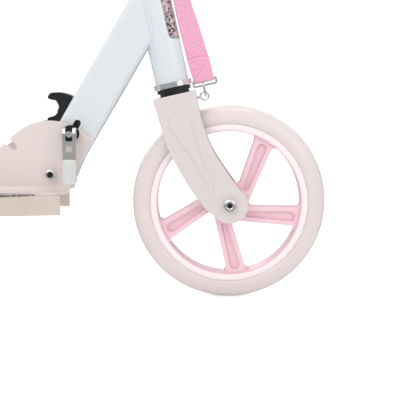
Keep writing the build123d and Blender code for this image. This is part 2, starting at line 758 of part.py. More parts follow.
with BuildPart() as crossbar:
    ring_across(bar_at, bar_r, bar_r - 1.5, -bar_half, bar_half)
crossbar.part.label = "crossbar"
export_step(crossbar.part, "parts/crossbar.step")

with BuildPart() as grips:
    for side in (-1, 1):
        inner_end = side * (bar_half - grip_length)
        outer_end = side * (bar_half + 1)
        ring_across(bar_at, 15.5, bar_r, min(inner_end, outer_end), max(inner_end, outer_end))
        flange = sorted((inner_end, inner_end + side * 4))
        ring_across(bar_at, 20.0, bar_r, flange[0], flange[1])
    fillet(grips.edges().filter_by(GeomType.CIRCLE).filter_by(lambda edge: edge.radius > 15), radius=1.2)
grips.part.label = "grips"
export_step(grips.part, "parts/grips.step")

with BuildPart() as bar_plugs:
    for side in (-1, 1):
        head = sorted((side * (bar_half + 1), side * (bar_half + 4)))
        body = sorted((side * (bar_half - 14), side * (bar_half + 1)))
        rod_across(bar_at, 14.0, head[0], head[1])
        rod_across(bar_at, bar_r - 1.5, body[0], body[1])
bar_plugs.part.label = "bar_plugs"
export_step(bar_plugs.part, "parts/bar_plugs.step")

# ---------------------------------------------------------------- rear stays
stay_top = deck_top - deck_sheet
stay_low = 92.0
with BuildPart() as rear_stays:
    for side in (-1, 1):
        with BuildSketch(side_plane(0, 0, side * (stay_gap + stay_sheet / 2))):
            with BuildLine():
                Polyline((rear_x, 114), (-226, 114), (-212, stay_top), (-110, stay_top), (-130, stay_low))
                Line((-130, stay_low), (-250, stay_low))
                Line((-250, stay_low), (rear_x, 86))
                ThreePointArc((rear_x, 86), (rear_x - 14, 100), (rear_x, 114))
            make_face()
        extrude(amount=stay_sheet / 2, both=True)
    rod_across(Vector(rear_x, 0, wheel_r), axle_r, -60, 60, Mode.SUBTRACT)
rear_stays.part.label = "rear_stays"
export_step(rear_stays.part, "parts/rear_stays.step")

# ---------------------------------------------------------------- brake fender
fender_pin_at = Vector(-204.0, 0, 131.0)
with BuildPart() as fender_bracket:
    with BuildSketch(Plane.XY.offset(deck_top)):
        with Locations((-190, 0)):
            RectangleRounded(30, 40, 3)
    extrude(amount=2.5)
    for side in (-1, 1):
        with BuildSketch(side_plane(0, 0, side * 18)):
            with BuildLine():
                Line((-180, deck_top), (-200, deck_top))
                Line((-200, deck_top), (fender_pin_at.X - 7, fender_pin_at.Z))
                ThreePointArc(
                    (fender_pin_at.X - 7, fender_pin_at.Z),
                    (fender_pin_at.X, fender_pin_at.Z + 7),
                    (fender_pin_at.X + 7, fender_pin_at.Z),
                )
                Line((fender_pin_at.X + 7, fender_pin_at.Z), (-180, deck_top))
            make_face()
        extrude(amount=1.25, both=True)
    rod_across(fender_pin_at, 2.5, -30, 30, Mode.SUBTRACT)
fender_bracket.part.label = "fender_bracket"
export_step(fender_bracket.part, "parts/fender_bracket.step")

with BuildPart() as fender_pin:
    rod_across(fender_pin_at, 2.5, -21, 21)
    rod_across(fender_pin_at, 4.0, -22.5, -21)
    rod_across(fender_pin_at, 4.0, 21, 22.5)
fender_pin.part.label = "fender_pin"
export_step(fender_pin.part, "parts/fender_pin.step")

fender_r = 108.0
fender_sheet = 2.5
fender_half = 15.5
fender_front = 27.0  # where the arc starts, in degrees round the rear wheel from +X
fender_end = 122.0
rear_centre = Vector(rear_x, 0, wheel_r)


def round_wheel(radius, angle):
    point = rear_centre + turned(angle) * radius
    return (point.X, point.Z)


with BuildPart() as fender:
    with BuildSketch(side_plane()):
        with BuildLine():
            middle = (fender_front + fender_end) / 2
            outer_r = fender_r + fender_sheet
            ThreePointArc(
                round_wheel(fender_r, fender_front),
                round_wheel(fender_r, middle),
                round_wheel(fender_r, fender_end),
            )
            Line(round_wheel(fender_r, fender_end), round_wheel(outer_r, fender_end))
            ThreePointArc(
                round_wheel(outer_r, fender_end),
                round_wheel(outer_r, middle),
                round_wheel(outer_r, fender_front),
            )
            Line(round_wheel(outer_r, fender_front), round_wheel(fender_r, fender_front))
        make_face()
    extrude(amount=fender_half, both=True)
    for low in (-fender_half, fender_half - 3):
        with BuildSketch(side_plane(0, 0, low + 3)) as lug:
            with BuildLine():
                Polyline(
                    (fender_pin_at.X + 3, fender_pin_at.Z - 4),
                    (fender_pin_at.X - 6, fender_pin_at.Z - 3),
                    round_wheel(fender_r + 0.5, fender_front + 1),
                    round_wheel(fender_r + 0.5, fender_front + 14),
                    (fender_pin_at.X + 1, fender_pin_at.Z + 6),
                    close=True,
                )
            make_face()
            with Locations((fender_pin_at.X, fender_pin_at.Z)):
                Circle(6.5)
        extrude(lug.sketch, amount=3)
    rod_across(fender_pin_at, 2.55, -30, 30, Mode.SUBTRACT)
fender.part.label = "fender"
export_step(fender.part, "parts/fender.step")

with BuildPart() as brake_pad:
    with BuildSketch(side_plane()):
        with BuildLine():
            ThreePointArc(
                round_wheel(fender_r, 62),
                round_wheel(fender_r, 74),
                round_wheel(fender_r, 86),
            )
            Line(round_wheel(fender_r, 86), round_wheel(fender_r - 3.5, 84))
            ThreePointArc(
                round_wheel(fender_r - 3.5, 84),
                round_wheel(fender_r - 3.5, 74),
                round_wheel(fender_r - 3.5, 64),
            )
            Line(round_wheel(fender_r - 3.5, 64), round_wheel(fender_r, 62))
        make_face()
    extrude(amount=11, both=True)
brake_pad.part.label = "brake_pad"
export_step(brake_pad.part, "parts/brake_pad.step")

with BuildPart() as fender_spring:
    coil_start = Vector(fender_pin_at.X, -8, fender_pin_at.Z)
    coil = Helix(pitch=1.7, height=16, radius=4.2, center=coil_start, direction=(0, 1, 0))
    with BuildSketch(Plane(origin=coil @ 0, z_dir=coil % 0)):
        Circle(0.6)
    sweep(path=coil, is_frenet=True)
fender_spring.part.label = "fender_spring"
export_step(fender_spring.part, "parts/fender_spring.step")

# ---------------------------------------------------------------- kickstand, on the +Y side
stand_pivot = Vector(-30, 40, 78)
stand_lean = 38.0
leg_dir = Vector(0, math.sin(math.radians(stand_lean)), -math.cos(math.radians(stand_lean)))
stand_axis = Vector(0, math.cos(math.radians(stand_lean)), math.sin(math.radians(stand_lean)))
stand_plate = -5.4  # outer face of the bracket's plate, along the stand's axis
stand_sheet = 4.0
bracket_length = 34.0
leg_r = 5.0
leg_length = (stand_pivot.Z - 8.5) / math.cos(math.radians(stand_lean))


def stand_plane(offset):
    """Plane square to the kickstand's pivot, facing back along its axis."""
    return Plane(origin=stand_pivot + stand_axis * offset, x_dir=(1, 0, 0), z_dir=stand_axis * -1)


with BuildPart() as kickstand_bracket:
    toe_out = stand_pivot + stand_axis * stand_plate + leg_dir * 10
    toe_in = toe_out - stand_axis * stand_sheet
    bend_in = toe_in - leg_dir * 42
    bend_out = toe_out - leg_dir * 42
    hanger_plane = Plane(origin=(stand_pivot.X - bracket_length / 2, 0, 0), x_dir=(0, 1, 0), z_dir=(1, 0, 0))
    with BuildSketch(hanger_plane):
        with BuildLine():
            Polyline(
                (toe_out.Y, toe_out.Z),
                (toe_in.Y, toe_in.Z),
                (bend_in.Y, bend_in.Z),
                (bend_in.Y, stay_top),
                (bend_in.Y + 24, stay_top),
                (bend_in.Y + 24, stay_top - 3),
                (bend_out.Y + 1, stay_top - 3),
                (bend_out.Y + 1, bend_out.Z),
                close=True,
            )
        make_face()
    extrude(amount=bracket_length)
    rod(stand_plane(0), 3.95, 20, Mode.SUBTRACT)
kickstand_bracket.part.label = "kickstand_bracket"
export_step(kickstand_bracket.part, "parts/kickstand_bracket.step")

with BuildPart() as kickstand_bolt:
    rod(stand_plane(8.9), 3.95, 20.6)
    rod(stand_plane(8.9), 6.5, 3.0)
    rod(stand_plane(stand_plate - stand_sheet), 6.5, 2.5)
kickstand_bolt.part.label = "kickstand_bolt"
export_step(kickstand_bolt.part, "parts/kickstand_bolt.step")

leg_middle = stand_pivot + stand_axis * 0.6
with BuildPart() as kickstand_leg:
    rod(stand_plane(5.8), 8.5, 10.8)
    rod(Plane(origin=leg_middle + leg_dir * 5, z_dir=leg_dir), leg_r, leg_length - 5)
    rod(stand_plane(30), 4.02, 60, Mode.SUBTRACT)
kickstand_leg.part.label = "kickstand_leg"
export_step(kickstand_leg.part, "parts/kickstand_leg.step")

leg_end = leg_middle + leg_dir * leg_length
with BuildPart() as kickstand_foot:
    rod(Plane(origin=leg_end - leg_dir * 16, z_dir=leg_dir), 7.5, 26)
    rod(Plane(origin=leg_end - leg_dir * 16, z_dir=leg_dir), leg_r, 16, Mode.SUBTRACT)
    with BuildSketch(Plane.XY):
        with Locations((stand_pivot.X, leg_end.Y)):
            Rectangle(60, 60)
    extrude(amount=-30, mode=Mode.SUBTRACT)
kickstand_foot.part.label = "kickstand_foot"
export_step(kickstand_foot.part, "parts/kickstand_foot.step")

# ---------------------------------------------------------------- carry strap
# The webbing stands edge-on to the head tube at its lower end and turns to face forward higher up.
strap_width = 22.0
strap_sheet = 2.0
eye_major = 4.2
eye_minor = 0.9
lower_eye_ahead = 29.4
upper_eye_ahead = 23.6
upper_link_ahead = upper_eye_ahead + eye_major  # ring and clasp hang from the eye's outer side
strap_stations = (
    (-2.2, 31.6, 0.0),
    (20.0, 30.6, 10.0),
    (50.0, 29.0, 27.0),
    (80.0, 27.4, 45.0),
    (110.0, 25.6, 64.0),
    (142.0, 24.5, 82.0),
    (200.0, 24.0, 90.0),
    (353.0, upper_link_ahead, 90.0),
)
wire_r = 0.9
column_side = Plane(origin=head_base, x_dir=steer_ahead, z_dir=(0, -1, 0))


def strap_section(level, ahead, twist):
    """Webbing cross-section, turned about its own long axis."""
    width_dir = steer_ahead * math.cos(math.radians(twist)) + Vector(0, math.sin(math.radians(twist)), 0)
    with BuildSketch(Plane(origin=steer_point(level, ahead), x_dir=width_dir, z_dir=steer_dir)) as section:
        Rectangle(strap_width, strap_sheet)
    return section.sketch


with BuildPart() as strap_webbing:
    for station, following in zip(strap_stations, strap_stations[1:]):
        loft([strap_section(*station), strap_section(*following)], ruled=True)
strap_webbing.part.label = "strap_webbing"
export_step(strap_webbing.part, "parts/strap_webbing.step")

ring_width = 25.6
ring_height = 7.5
upper_ring_at = head_base + steer_ahead * upper_link_ahead
upper_ring_plane = Plane(origin=upper_ring_at, x_dir=(0, 1, 0), z_dir=steer_ahead)
with BuildPart() as strap_rings:
    for plane, centre in ((column_side, (32.6, -7.2)), (upper_ring_plane, (0, 358.0))):
        with BuildSketch(plane) as loop:
            with Locations(centre):
                RectangleRounded(ring_width, ring_height, 2.4)
                RectangleRounded(ring_width - 4 * wire_r, ring_height - 4 * wire_r, 1.0, mode=Mode.SUBTRACT)
        extrude(loop.sketch, amount=wire_r, both=True)
strap_rings.part.label = "strap_rings"
export_step(strap_rings.part, "parts/strap_rings.step")

clasp_lengths = (14.2, 19.2)
clasp_width = 7.2
lower_clasp_plane = Plane(origin=head_base + steer_ahead * 30.6, x_dir=(0, 1, 0), z_dir=steer_ahead)
with BuildPart() as strap_clasps:
    for plane, centre, length in (
        (lower_clasp_plane, (0, -14.1), clasp_lengths[0]),
        (column_side, (upper_link_ahead, 366.6), clasp_lengths[1]),
    ):
        with BuildSketch(plane) as loop:
            with Locations(Location((*centre, 0), (0, 0, 90))):
                SlotOverall(length, clasp_width)
                SlotOverall(length - 3.2, clasp_width - 3.6, mode=Mode.SUBTRACT)
        extrude(loop.sketch, amount=1.0, both=True)
strap_clasps.part.label = "strap_clasps"
export_step(strap_clasps.part, "parts/strap_clasps.step")

with BuildPart() as strap_eyes:
    for level, ahead, normal, shank in (
        (eye_level, lower_eye_ahead, Vector(0, -1, 0), 10.0),
        (upper_eye_level, upper_eye_ahead, steer_dir, 4.4),
    ):
        with Locations(Plane(origin=steer_point(level, ahead), x_dir=steer_ahead, z_dir=normal)):
            Torus(eye_major, eye_minor)
        rod(Plane(origin=steer_point(level, ahead - eye_major + 0.2), z_dir=steer_ahead * -1), 1.6, shank)
strap_eyes.part.label = "strap_eyes"
export_step(strap_eyes.part, "parts/strap_eyes.step")
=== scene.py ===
"""Folding kick scooter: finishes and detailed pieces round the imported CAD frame.

Everything is in metres, in the frame of the CAD model: +X forward, +Y to the rider's left, +Z up.
"""
import json
import math

import bmesh
import bpy
from mathutils import Matrix, Vector


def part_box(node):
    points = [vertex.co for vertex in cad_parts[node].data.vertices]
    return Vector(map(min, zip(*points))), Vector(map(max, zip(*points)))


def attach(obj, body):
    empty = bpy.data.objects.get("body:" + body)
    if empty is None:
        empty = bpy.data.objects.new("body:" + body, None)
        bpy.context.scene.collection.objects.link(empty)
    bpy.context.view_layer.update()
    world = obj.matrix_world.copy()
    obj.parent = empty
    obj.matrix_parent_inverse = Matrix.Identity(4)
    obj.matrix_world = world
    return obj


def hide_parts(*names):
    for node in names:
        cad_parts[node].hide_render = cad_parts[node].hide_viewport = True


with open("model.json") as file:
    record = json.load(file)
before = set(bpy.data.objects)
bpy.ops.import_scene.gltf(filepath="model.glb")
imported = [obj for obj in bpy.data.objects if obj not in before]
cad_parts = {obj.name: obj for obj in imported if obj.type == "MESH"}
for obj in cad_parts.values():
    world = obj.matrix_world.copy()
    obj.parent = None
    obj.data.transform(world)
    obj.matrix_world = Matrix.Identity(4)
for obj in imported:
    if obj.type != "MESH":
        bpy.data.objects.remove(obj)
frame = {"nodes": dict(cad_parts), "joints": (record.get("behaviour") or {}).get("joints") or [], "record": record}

bl_info = {
    "name": "Kick scooter pieces",
    "version": (1, 0, 0),
    "blender": (4, 5, 0),
    "location": "View3D > Sidebar > Scooter",
    "description": "Adds the detailed pieces and finishes of a folding kick scooter",
    "category": "Object",
}

MM = 0.001
JOINTS = {joint["name"]: joint for joint in frame["joints"]}
NODES = frame["nodes"]


def joint_point(name):
    return Vector(JOINTS[name]["pos_m"])


def joint_axis(name):
    return Vector(JOINTS[name]["axis"]).normalized()


ACROSS = Vector((0, -1, 0))
STEER_UP = joint_axis("steering_turn")
STEER_AHEAD = Vector((STEER_UP.z, 0, -STEER_UP.x))
HEAD_BASE = joint_point("steering_turn")
NECK_UP = joint_axis("latch_slide")
NECK_BACK = Vector((-NECK_UP.z, 0, NECK_UP.x))
PIVOT = joint_point("neck_fold")
FRONT_AXLE = joint_point("front_wheel_spin")
REAR_AXLE = joint_point("rear_wheel_spin")


def node_box(name):
    """Middle of a CAD node's box and half its size."""
    low, high = (Vector(corner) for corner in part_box(name))
    return (low + high) / 2, (high - low) / 2


BAR_MIDDLE = node_box("crossbar")[0]
HEAD_RADIUS = node_box("head_tube")[1].y
WHEELS = (("front", FRONT_AXLE), ("rear", REAR_AXLE))
WHEEL_SEGMENTS = 144


def colour(red, green, blue):
    """Linear colour from a display colour in 0 to 255."""
    shares = (red / 255, green / 255, blue / 255)
    return tuple(s / 12.92 if s <= 0.04045 else ((s + 0.055) / 1.055) ** 2.4 for s in shares)


# ---------------------------------------------------------------- sizes and colours a user may change
def paint_property(name, description, default):
    return bpy.props.FloatVectorProperty(
        name=name, description=description, default=default, size=3, min=0, max=1, subtype="COLOR"
    )


def length_property(name, description, default):
    return bpy.props.FloatProperty(name=name, description=description, default=default, unit="LENGTH")


class ScooterColours(bpy.types.PropertyGroup):
    frame_paint: paint_property("Frame", "Neck, head tube and column paint", colour(222, 228, 232))
    fork_paint: paint_property("Fork", "Fork paint", colour(222, 212, 211))
    bracket_paint: paint_property("Bracket", "Fold bracket paint", colour(229, 215, 212))
    deck_paint: paint_property("Deck", "Deck paint", colour(216, 200, 191))
    tyre: paint_property("Tyre", "Wheel tread", colour(230, 218, 217))
    hub: paint_property("Hub", "Wheel hub and spokes", colour(247, 211, 221))
    webbing: paint_property("Webbing", "Carry strap", colour(250, 180, 209))
    grip: paint_property("Grip", "Handlebar grips", colour(236, 176, 196))
    tape: paint_property("Grip tape", "Mineral grit on the deck", colour(128, 123, 119))


class ScooterSizes(bpy.types.PropertyGroup):
    tyre_radius: length_property("Tyre radius", "Outside radius of both tyres", 100 * MM)
    tyre_half_width: length_property("Tyre half width", "From the middle to the side wall", 15 * MM)
    rim_radius: length_property("Rim radius", "Where the tread meets the hub", 81 * MM)
    fork_half_width: length_property("Fork half width", "From the middle to a leg's outer face", 29 * MM)
    fork_slot: length_property("Fork slot", "From the middle to a leg's inner face", 19.5 * MM)
    cheek_radius: length_property("Cheek radius", "Round top of the fold bracket", 54.5 * MM)
    strap_width: length_property("Strap width", "Width of the webbing", 22 * MM)
    strap_sheet: length_property("Strap thickness", "Thickness of one layer of webbing", 1.5 * MM)
    grip_radius: length_property("Grip radius", "Outside radius over the ribs", 15.4 * MM)
    decal_low: length_property("Decal start", "Up the head tube from its lower end", 42 * MM)
    decal_high: length_property("Decal end", "Up the head tube from its lower end", 116 * MM)


class ScooterStage(bpy.types.PropertyGroup):
    focal_length: bpy.props.FloatProperty(
        name="Focal length", description="Camera lens on a 36 mm sensor", default=82.6, unit="CAMERA"
    )
    pitch: bpy.props.FloatProperty(
        name="Pitch",
        description="Camera tilt from straight down",
        default=math.radians(82.49),
        unit="ROTATION",
    )
    floor_size: length_property("Floor size", "Side of the floor", 12.0)


# ---------------------------------------------------------------- shader groups
def group_tree(name, inputs, outputs):
    """A shader node group with named sockets, its input and output nodes placed."""
    tree = bpy.data.node_groups.new(name, "ShaderNodeTree")
    for label, kind, default in inputs:
        socket = tree.interface.new_socket(label, in_out="INPUT", socket_type=kind)
        socket.default_value = default
    for label, kind in outputs:
        tree.interface.new_socket(label, in_out="OUTPUT", socket_type=kind)
    return tree, tree.nodes.new("NodeGroupInput"), tree.nodes.new("NodeGroupOutput")


def add_node(tree, kind, values=(), **settings):
    """A node with its settings; values are (socket, value) or (socket, output to link)."""
    node = tree.nodes.new(kind)
    for key, value in settings.items():
        setattr(node, key, value)
    for socket, value in values:
        if isinstance(value, bpy.types.NodeSocket):
            tree.links.new(value, node.inputs[socket])
        else:
            node.inputs[socket].default_value = value
    return node


def maths(tree, operation, first, second):
    return add_node(tree, "ShaderNodeMath", [(0, first), (1, second)], operation=operation).outputs[0]


def scale_vector(tree, vector, factor):
    scaling = [(0, vector), ("Scale", factor)]
    return add_node(tree, "ShaderNodeVectorMath", scaling, operation="SCALE").outputs[0]


def mix_colours(tree, share, first, second):
    mixing = [(0, share), (6, first), (7, second)]
    return add_node(tree, "ShaderNodeMix", mixing, data_type="RGBA").outputs[2]


def map_range(tree, value, **limits):
    ranges = [(name.replace("_", " "), limit) for name, limit in limits.items()]
    return add_node(tree, "ShaderNodeMapRange", [("Value", value), *ranges]).outputs[0]


def object_place(tree):
    return tree.nodes.new("ShaderNodeTexCoord").outputs["Object"]


def make_drift_group():
    """Slow change of shade and gloss, as in sprayed paint and moulded plastic."""
    tree, given, put = group_tree(
        "shade_drift",
        [
            ("Base", "NodeSocketColor", (0.8, 0.8, 0.8, 1)),
            ("Amount", "NodeSocketFloat", 0.05),
            ("Scale", "NodeSocketFloat", 30.0),
            ("Roughness", "NodeSocketFloat", 0.3),
        ],
        [("Colour", "NodeSocketColor"), ("Roughness", "NodeSocketFloat")],
    )
    noise = add_node(
        tree,
        "ShaderNodeTexNoise",
        [("Vector", object_place(tree)), ("Scale", given.outputs["Scale"]), ("Detail", 5.0)],
    )
    offset = maths(tree, "SUBTRACT", noise.outputs["Fac"], 0.5)
    swing = maths(tree, "MULTIPLY", offset, given.outputs["Amount"])
    level = maths(tree, "ADD", swing, 1.0)
    tree.links.new(scale_vector(tree, given.outputs["Base"], level), put.inputs["Colour"])
    tree.links.new(maths(tree, "MULTIPLY", given.outputs["Roughness"], level), put.inputs["Roughness"])
    return tree


def make_grain_group():
    """Height of a fine surface grain: orange peel in paint, or a moulded texture."""
    tree, given, put = group_tree(
        "fine_grain",
        [("Scale", "NodeSocketFloat", 900.0), ("Stretch", "NodeSocketVector", (1, 1, 1))],
        [("Height", "NodeSocketFloat")],
    )
    stretching = [(0, object_place(tree)), (1, given.outputs["Stretch"])]
    stretched = add_node(tree, "ShaderNodeVectorMath", stretching, operation="MULTIPLY")
    noise = add_node(
        tree,
        "ShaderNodeTexNoise",
        [("Vector", stretched.outputs[0]), ("Scale", given.outputs["Scale"]), ("Detail", 3.0)],
    )
    tree.links.new(noise.outputs["Fac"], put.inputs["Height"])
    return tree


def make_grit_group():
    """Mineral grit: rounded grains with some bright flakes among them."""
    tree, given, put = group_tree(
        "mineral_grit",
        [("Base", "NodeSocketColor", (0.2, 0.2, 0.2, 1)), ("Scale", "NodeSocketFloat", 900.0)],
        [("Colour", "NodeSocketColor"), ("Height", "NodeSocketFloat"), ("Flake", "NodeSocketFloat")],
    )
    place = [("Vector", object_place(tree)), ("Scale", given.outputs["Scale"])]
    cells = add_node(tree, "ShaderNodeTexVoronoi", place)
    random_shade = add_node(tree, "ShaderNodeSeparateColor", [(0, cells.outputs["Color"])])
    flake = maths(tree, "GREATER_THAN", random_shade.outputs[0], 0.86)
    shade = map_range(tree, random_shade.outputs[1], To_Min=0.25, To_Max=1.25)
    grain = scale_vector(tree, given.outputs["Base"], shade)
    flake_colour = (0.85, 0.83, 0.80, 1)
    tree.links.new(mix_colours(tree, flake, grain, flake_colour), put.inputs["Colour"])
    tree.links.new(maths(tree, "SUBTRACT", 1.0, cells.outputs["Distance"]), put.inputs["Height"])
    tree.links.new(flake, put.inputs["Flake"])
    return tree


def make_weave_group():
    """Woven webbing on the UV map, in metres: diagonal rib pairs that pass over and under. The colour carries
    painted shade in the hollows and a painted highlight on the ribs.
    """
    tree, given, put = group_tree(
        "webbing_weave",
        [("Base", "NodeSocketColor", (0.8, 0.4, 0.5, 1)), ("Pitch", "NodeSocketFloat", 0.0016)],
        [("Colour", "NodeSocketColor"), ("Height", "NodeSocketFloat")],
    )
    place = tree.nodes.new("ShaderNodeTexCoord").outputs["UV"]
    turns = scale_vector(tree, place, maths(tree, "DIVIDE", math.tau, given.outputs["Pitch"]))
    parts = add_node(tree, "ShaderNodeSeparateXYZ", [(0, turns)])
    warp = add_node(tree, "ShaderNodeMath", [(0, parts.outputs[0])], operation="SINE")
    weft = add_node(tree, "ShaderNodeMath", [(0, parts.outputs[1])], operation="SINE")
    cross = maths(tree, "MULTIPLY", warp.outputs[0], weft.outputs[0])
    height = map_range(tree, cross, From_Min=-1.0, From_Max=1.0)
    # Painted shade and highlight: the colour is darkened where the weave sinks and lightened where the ribs rise.
    shade = map_range(tree, height, To_Min=0.66, To_Max=1.3)
    tree.links.new(scale_vector(tree, given.outputs["Base"], shade), put.inputs["Colour"])
    tree.links.new(height, put.inputs["Height"])
    return tree


GROUP_MAKERS = {
    "shade_drift": make_drift_group,
    "fine_grain": make_grain_group,
    "mineral_grit": make_grit_group,
    "webbing_weave": make_weave_group,
}


def place_group(tree, name, **values):
    """The named group, built when first asked for, placed in a material with its own values."""
    node = tree.nodes.new("ShaderNodeGroup")
    node.node_tree = bpy.data.node_groups.get(name) or GROUP_MAKERS[name]()
    for key, value in values.items():
        node.inputs[key].default_value = value
    return node


# ---------------------------------------------------------------- materials
def new_material(name, settings):
    """A material with its own name; a plain one of that name from the CAD file makes way for it."""
    plain = bpy.data.materials.get(name)
    if plain:
        plain.name = name + "_plain"
    material = bpy.data.materials.new(name)
    material.use_nodes = True
    shader = material.node_tree.nodes["Principled BSDF"]
    for socket, value in settings.items():
        shader.inputs[socket].default_value = value
    return material, material.node_tree, shader


def add_bump(tree, shader, height, strength, distance):
    bump = add_node(
        tree, "ShaderNodeBump", [("Height", height), ("Strength", strength), ("Distance", distance)]
    )
    tree.links.new(bump.outputs[0], shader.inputs["Normal"])


def plain_finish(
    name, base, roughness, drift, drift_scale, grain, bump, stretch=(1, 1, 1), **settings
):
    """A one-colour finish with slow drift of shade and gloss, and a fine grain in its surface."""
    material, tree, shader = new_material(name, settings)
    shaded = place_group(
        tree, "shade_drift", Base=(*base, 1), Amount=drift, Scale=drift_scale, Roughness=roughness
    )
    tree.links.new(shaded.outputs["Colour"], shader.inputs["Base Color"])
    tree.links.new(shaded.outputs["Roughness"], shader.inputs["Roughness"])
    grained = place_group(tree, "fine_grain", Scale=grain, Stretch=stretch)
    add_bump(tree, shader, grained.outputs["Height"], bump, 0.0004)
    return material


def glossy_paint(name, base, roughness):
    settings = {"Coat Weight": 0.6, "Coat Roughness": 0.08}
    return plain_finish(name, base, roughness, 0.04, 18.0, 1400.0, 0.03, **settings)


def bare_metal(name, base, roughness, stretch=(1, 1, 1), drift=0.2):
    settings = {"Metallic": 1.0}
    return plain_finish(name, base, roughness, drift, 120.0, 1600.0, 0.06, stretch, **settings)


def soft_tread(name, base):
    """Clear polyurethane that lets light into its surface."""
    settings = {
        "Subsurface Weight": 0.25,
        "Subsurface Radius": (0.012, 0.007, 0.006),
        "Subsurface Scale": 0.6,
        "Coat Weight": 0.5,
        "Coat Roughness": 0.07,
    }
    return plain_finish(name, base, 0.16, 0.03, 14.0, 700.0, 0.02, **settings)


def grip_tape_finish(name, base):
    material, tree, shader = new_material(name, {"Roughness": 0.85})
    grit = place_group(tree, "mineral_grit", Base=(*base, 1), Scale=1100.0)
    tree.links.new(grit.outputs["Colour"], shader.inputs["Base Color"])
    gloss = map_range(tree, grit.outputs["Flake"], To_Min=0.9, To_Max=0.3)
    tree.links.new(gloss, shader.inputs["Roughness"])
    add_bump(tree, shader, grit.outputs["Height"], 0.9, 0.0006)
    return material


def webbing_finish(name, base):
    settings = {"Roughness": 0.8, "Sheen Weight": 0.25, "Sheen Roughness": 0.4}
    material, tree, shader = new_material(name, settings)
    weave = place_group(tree, "webbing_weave", Base=(*base, 1), Pitch=0.0034)
    tree.links.new(weave.outputs["Colour"], shader.inputs["Base Color"])
    add_bump(tree, shader, weave.outputs["Height"], 1.0, 0.0006)
    return material


def decal_finish(name):
    """Printed film with an abstract scatter of petals and leaves on grey."""
    settings = {"Coat Weight": 0.8, "Coat Roughness": 0.1, "Roughness": 0.35}
    material, tree, shader = new_material(name, settings)
    place = object_place(tree)
    wobble = add_node(tree, "ShaderNodeTexNoise", [("Vector", place), ("Scale", 160.0), ("Detail", 2.0)])
    bent = add_node(
        tree,
        "ShaderNodeVectorMath",
        [(0, wobble.outputs["Color"]), (1, (0.008, 0.008, 0.008)), (2, place)],
        operation="MULTIPLY_ADD",
    )
    shade = (*colour(158, 150, 154), 1)
    layers = (
        (150.0, 0.40, colour(228, 182, 184)),
        (230.0, 0.30, colour(242, 226, 226)),
        (260.0, 0.41, colour(38, 24, 32)),
        (340.0, 0.20, colour(200, 66, 92)),
    )
    for scale, size, ink in layers:
        cells = add_node(tree, "ShaderNodeTexVoronoi", [("Vector", bent.outputs[0]), ("Scale", scale)])
        petal = maths(tree, "LESS_THAN", cells.outputs["Distance"], size)
        shade = mix_colours(tree, petal, shade, (*ink, 1))
    tree.links.new(shade, shader.inputs["Base Color"])
    return material


def clear_sleeve_finish(name):
    settings = {"Transmission Weight": 0.4, "IOR": 1.45, "Coat Weight": 0.4, "Coat Roughness": 0.1}
    return plain_finish(name, colour(244, 246, 244), 0.16, 0.04, 60.0, 700.0, 0.05, **settings)


def make_finishes():
    """Every material of the scooter, named by the record's slot or by the piece that wears it."""
    paints = bpy.context.scene.scooter_colours
    across = (1, 12, 1)
    up = (1, 1, 10)
    inner_glow = {"Subsurface Weight": 0.12, "Subsurface Radius": (0.01, 0.004, 0.005)}
    glossy_paint("frame_paint", paints.frame_paint, 0.22)
    glossy_paint("fork_paint", paints.fork_paint, 0.34)
    glossy_paint("bracket_paint", paints.bracket_paint, 0.38)
    glossy_paint("deck_paint", paints.deck_paint, 0.32)
    soft_tread("tyre_pu", paints.tyre)
    plain_finish(
        "hub_pink", paints.hub, 0.28, 0.05, 25.0, 900.0, 0.03, **{"Coat Weight": 0.35}, **inner_glow
    )
    # rim_gloss is near-white: partly the rim's own pale face, partly a painted highlight on that face.
    plain_finish(
        "rim_gloss", colour(255, 241, 244), 0.18, 0.03, 25.0, 900.0, 0.02, **{"Coat Weight": 0.5}
    )
    bare_metal("steel", colour(214, 214, 212), 0.36, across)
    bare_metal("zinc", colour(224, 225, 224), 0.27)
    bare_metal("chrome", colour(236, 236, 238), 0.07, drift=0.1)
    bare_metal("lever_metal", colour(222, 224, 222), 0.30, up)
    clear_sleeve_finish("clear_plastic")
    plain_finish("black_plastic", colour(22, 22, 24), 0.38, 0.2, 60.0, 1300.0, 0.25)
    plain_finish("grip_rubber", paints.grip, 0.62, 0.06, 40.0, 1500.0, 0.3)
    grip_tape_finish("tape", paints.tape)
    webbing_finish("webbing", paints.webbing)
    plain_finish("pad_rubber", colour(42, 42, 42), 0.75, 0.25, 80.0, 900.0, 0.4)
    decal_finish("decal")
    plain_finish("thread", colour(238, 160, 192), 0.7, 0.1, 300.0, 2500.0, 0.5)


def finish(name):
    return bpy.data.materials[name]


# ---------------------------------------------------------------- mesh helpers
def axes_at(origin, first, second):
    """Matrix whose local x, y and z are first, second and their cross product, at origin."""
    third = first.cross(second)
    matrix = Matrix((first, second, third)).transposed().to_4x4()
    matrix.translation = origin
    return matrix


def side_at(origin):
    """Side view: x forward, y up, z towards -Y."""
    return axes_at(origin, Vector((1, 0, 0)), Vector((0, 0, 1)))


def round_points(centre, radius, start, end, count):
    """Points on an arc, angles in degrees, both ends included."""
    points = []
    for k in range(count + 1):
        angle = math.radians(start + (end - start) * k / count)
        points.append((centre[0] + radius * math.cos(angle), centre[1] + radius * math.sin(angle)))
    return points


def curved(points, steps=6):
    """Points of a smooth curve through the given ones."""
    result = []
    for k in range(len(points) - 1):
        before = Vector(points[max(k - 1, 0)])
        start = Vector(points[k])
        end = Vector(points[k + 1])
        after = Vector(points[min(k + 2, len(points) - 1)])
        for step in range(steps):
            t = step / steps
            slope = (end - before) * t + (2 * before - 5 * start + 4 * end - after) * t * t
            result.append(tuple(start + (slope + (3 * start - before - 3 * end + after) * t ** 3) / 2))
    result.append(tuple(points[-1]))
    return result


def scaled(points):
    return [(u * MM, v * MM) for u, v in points]


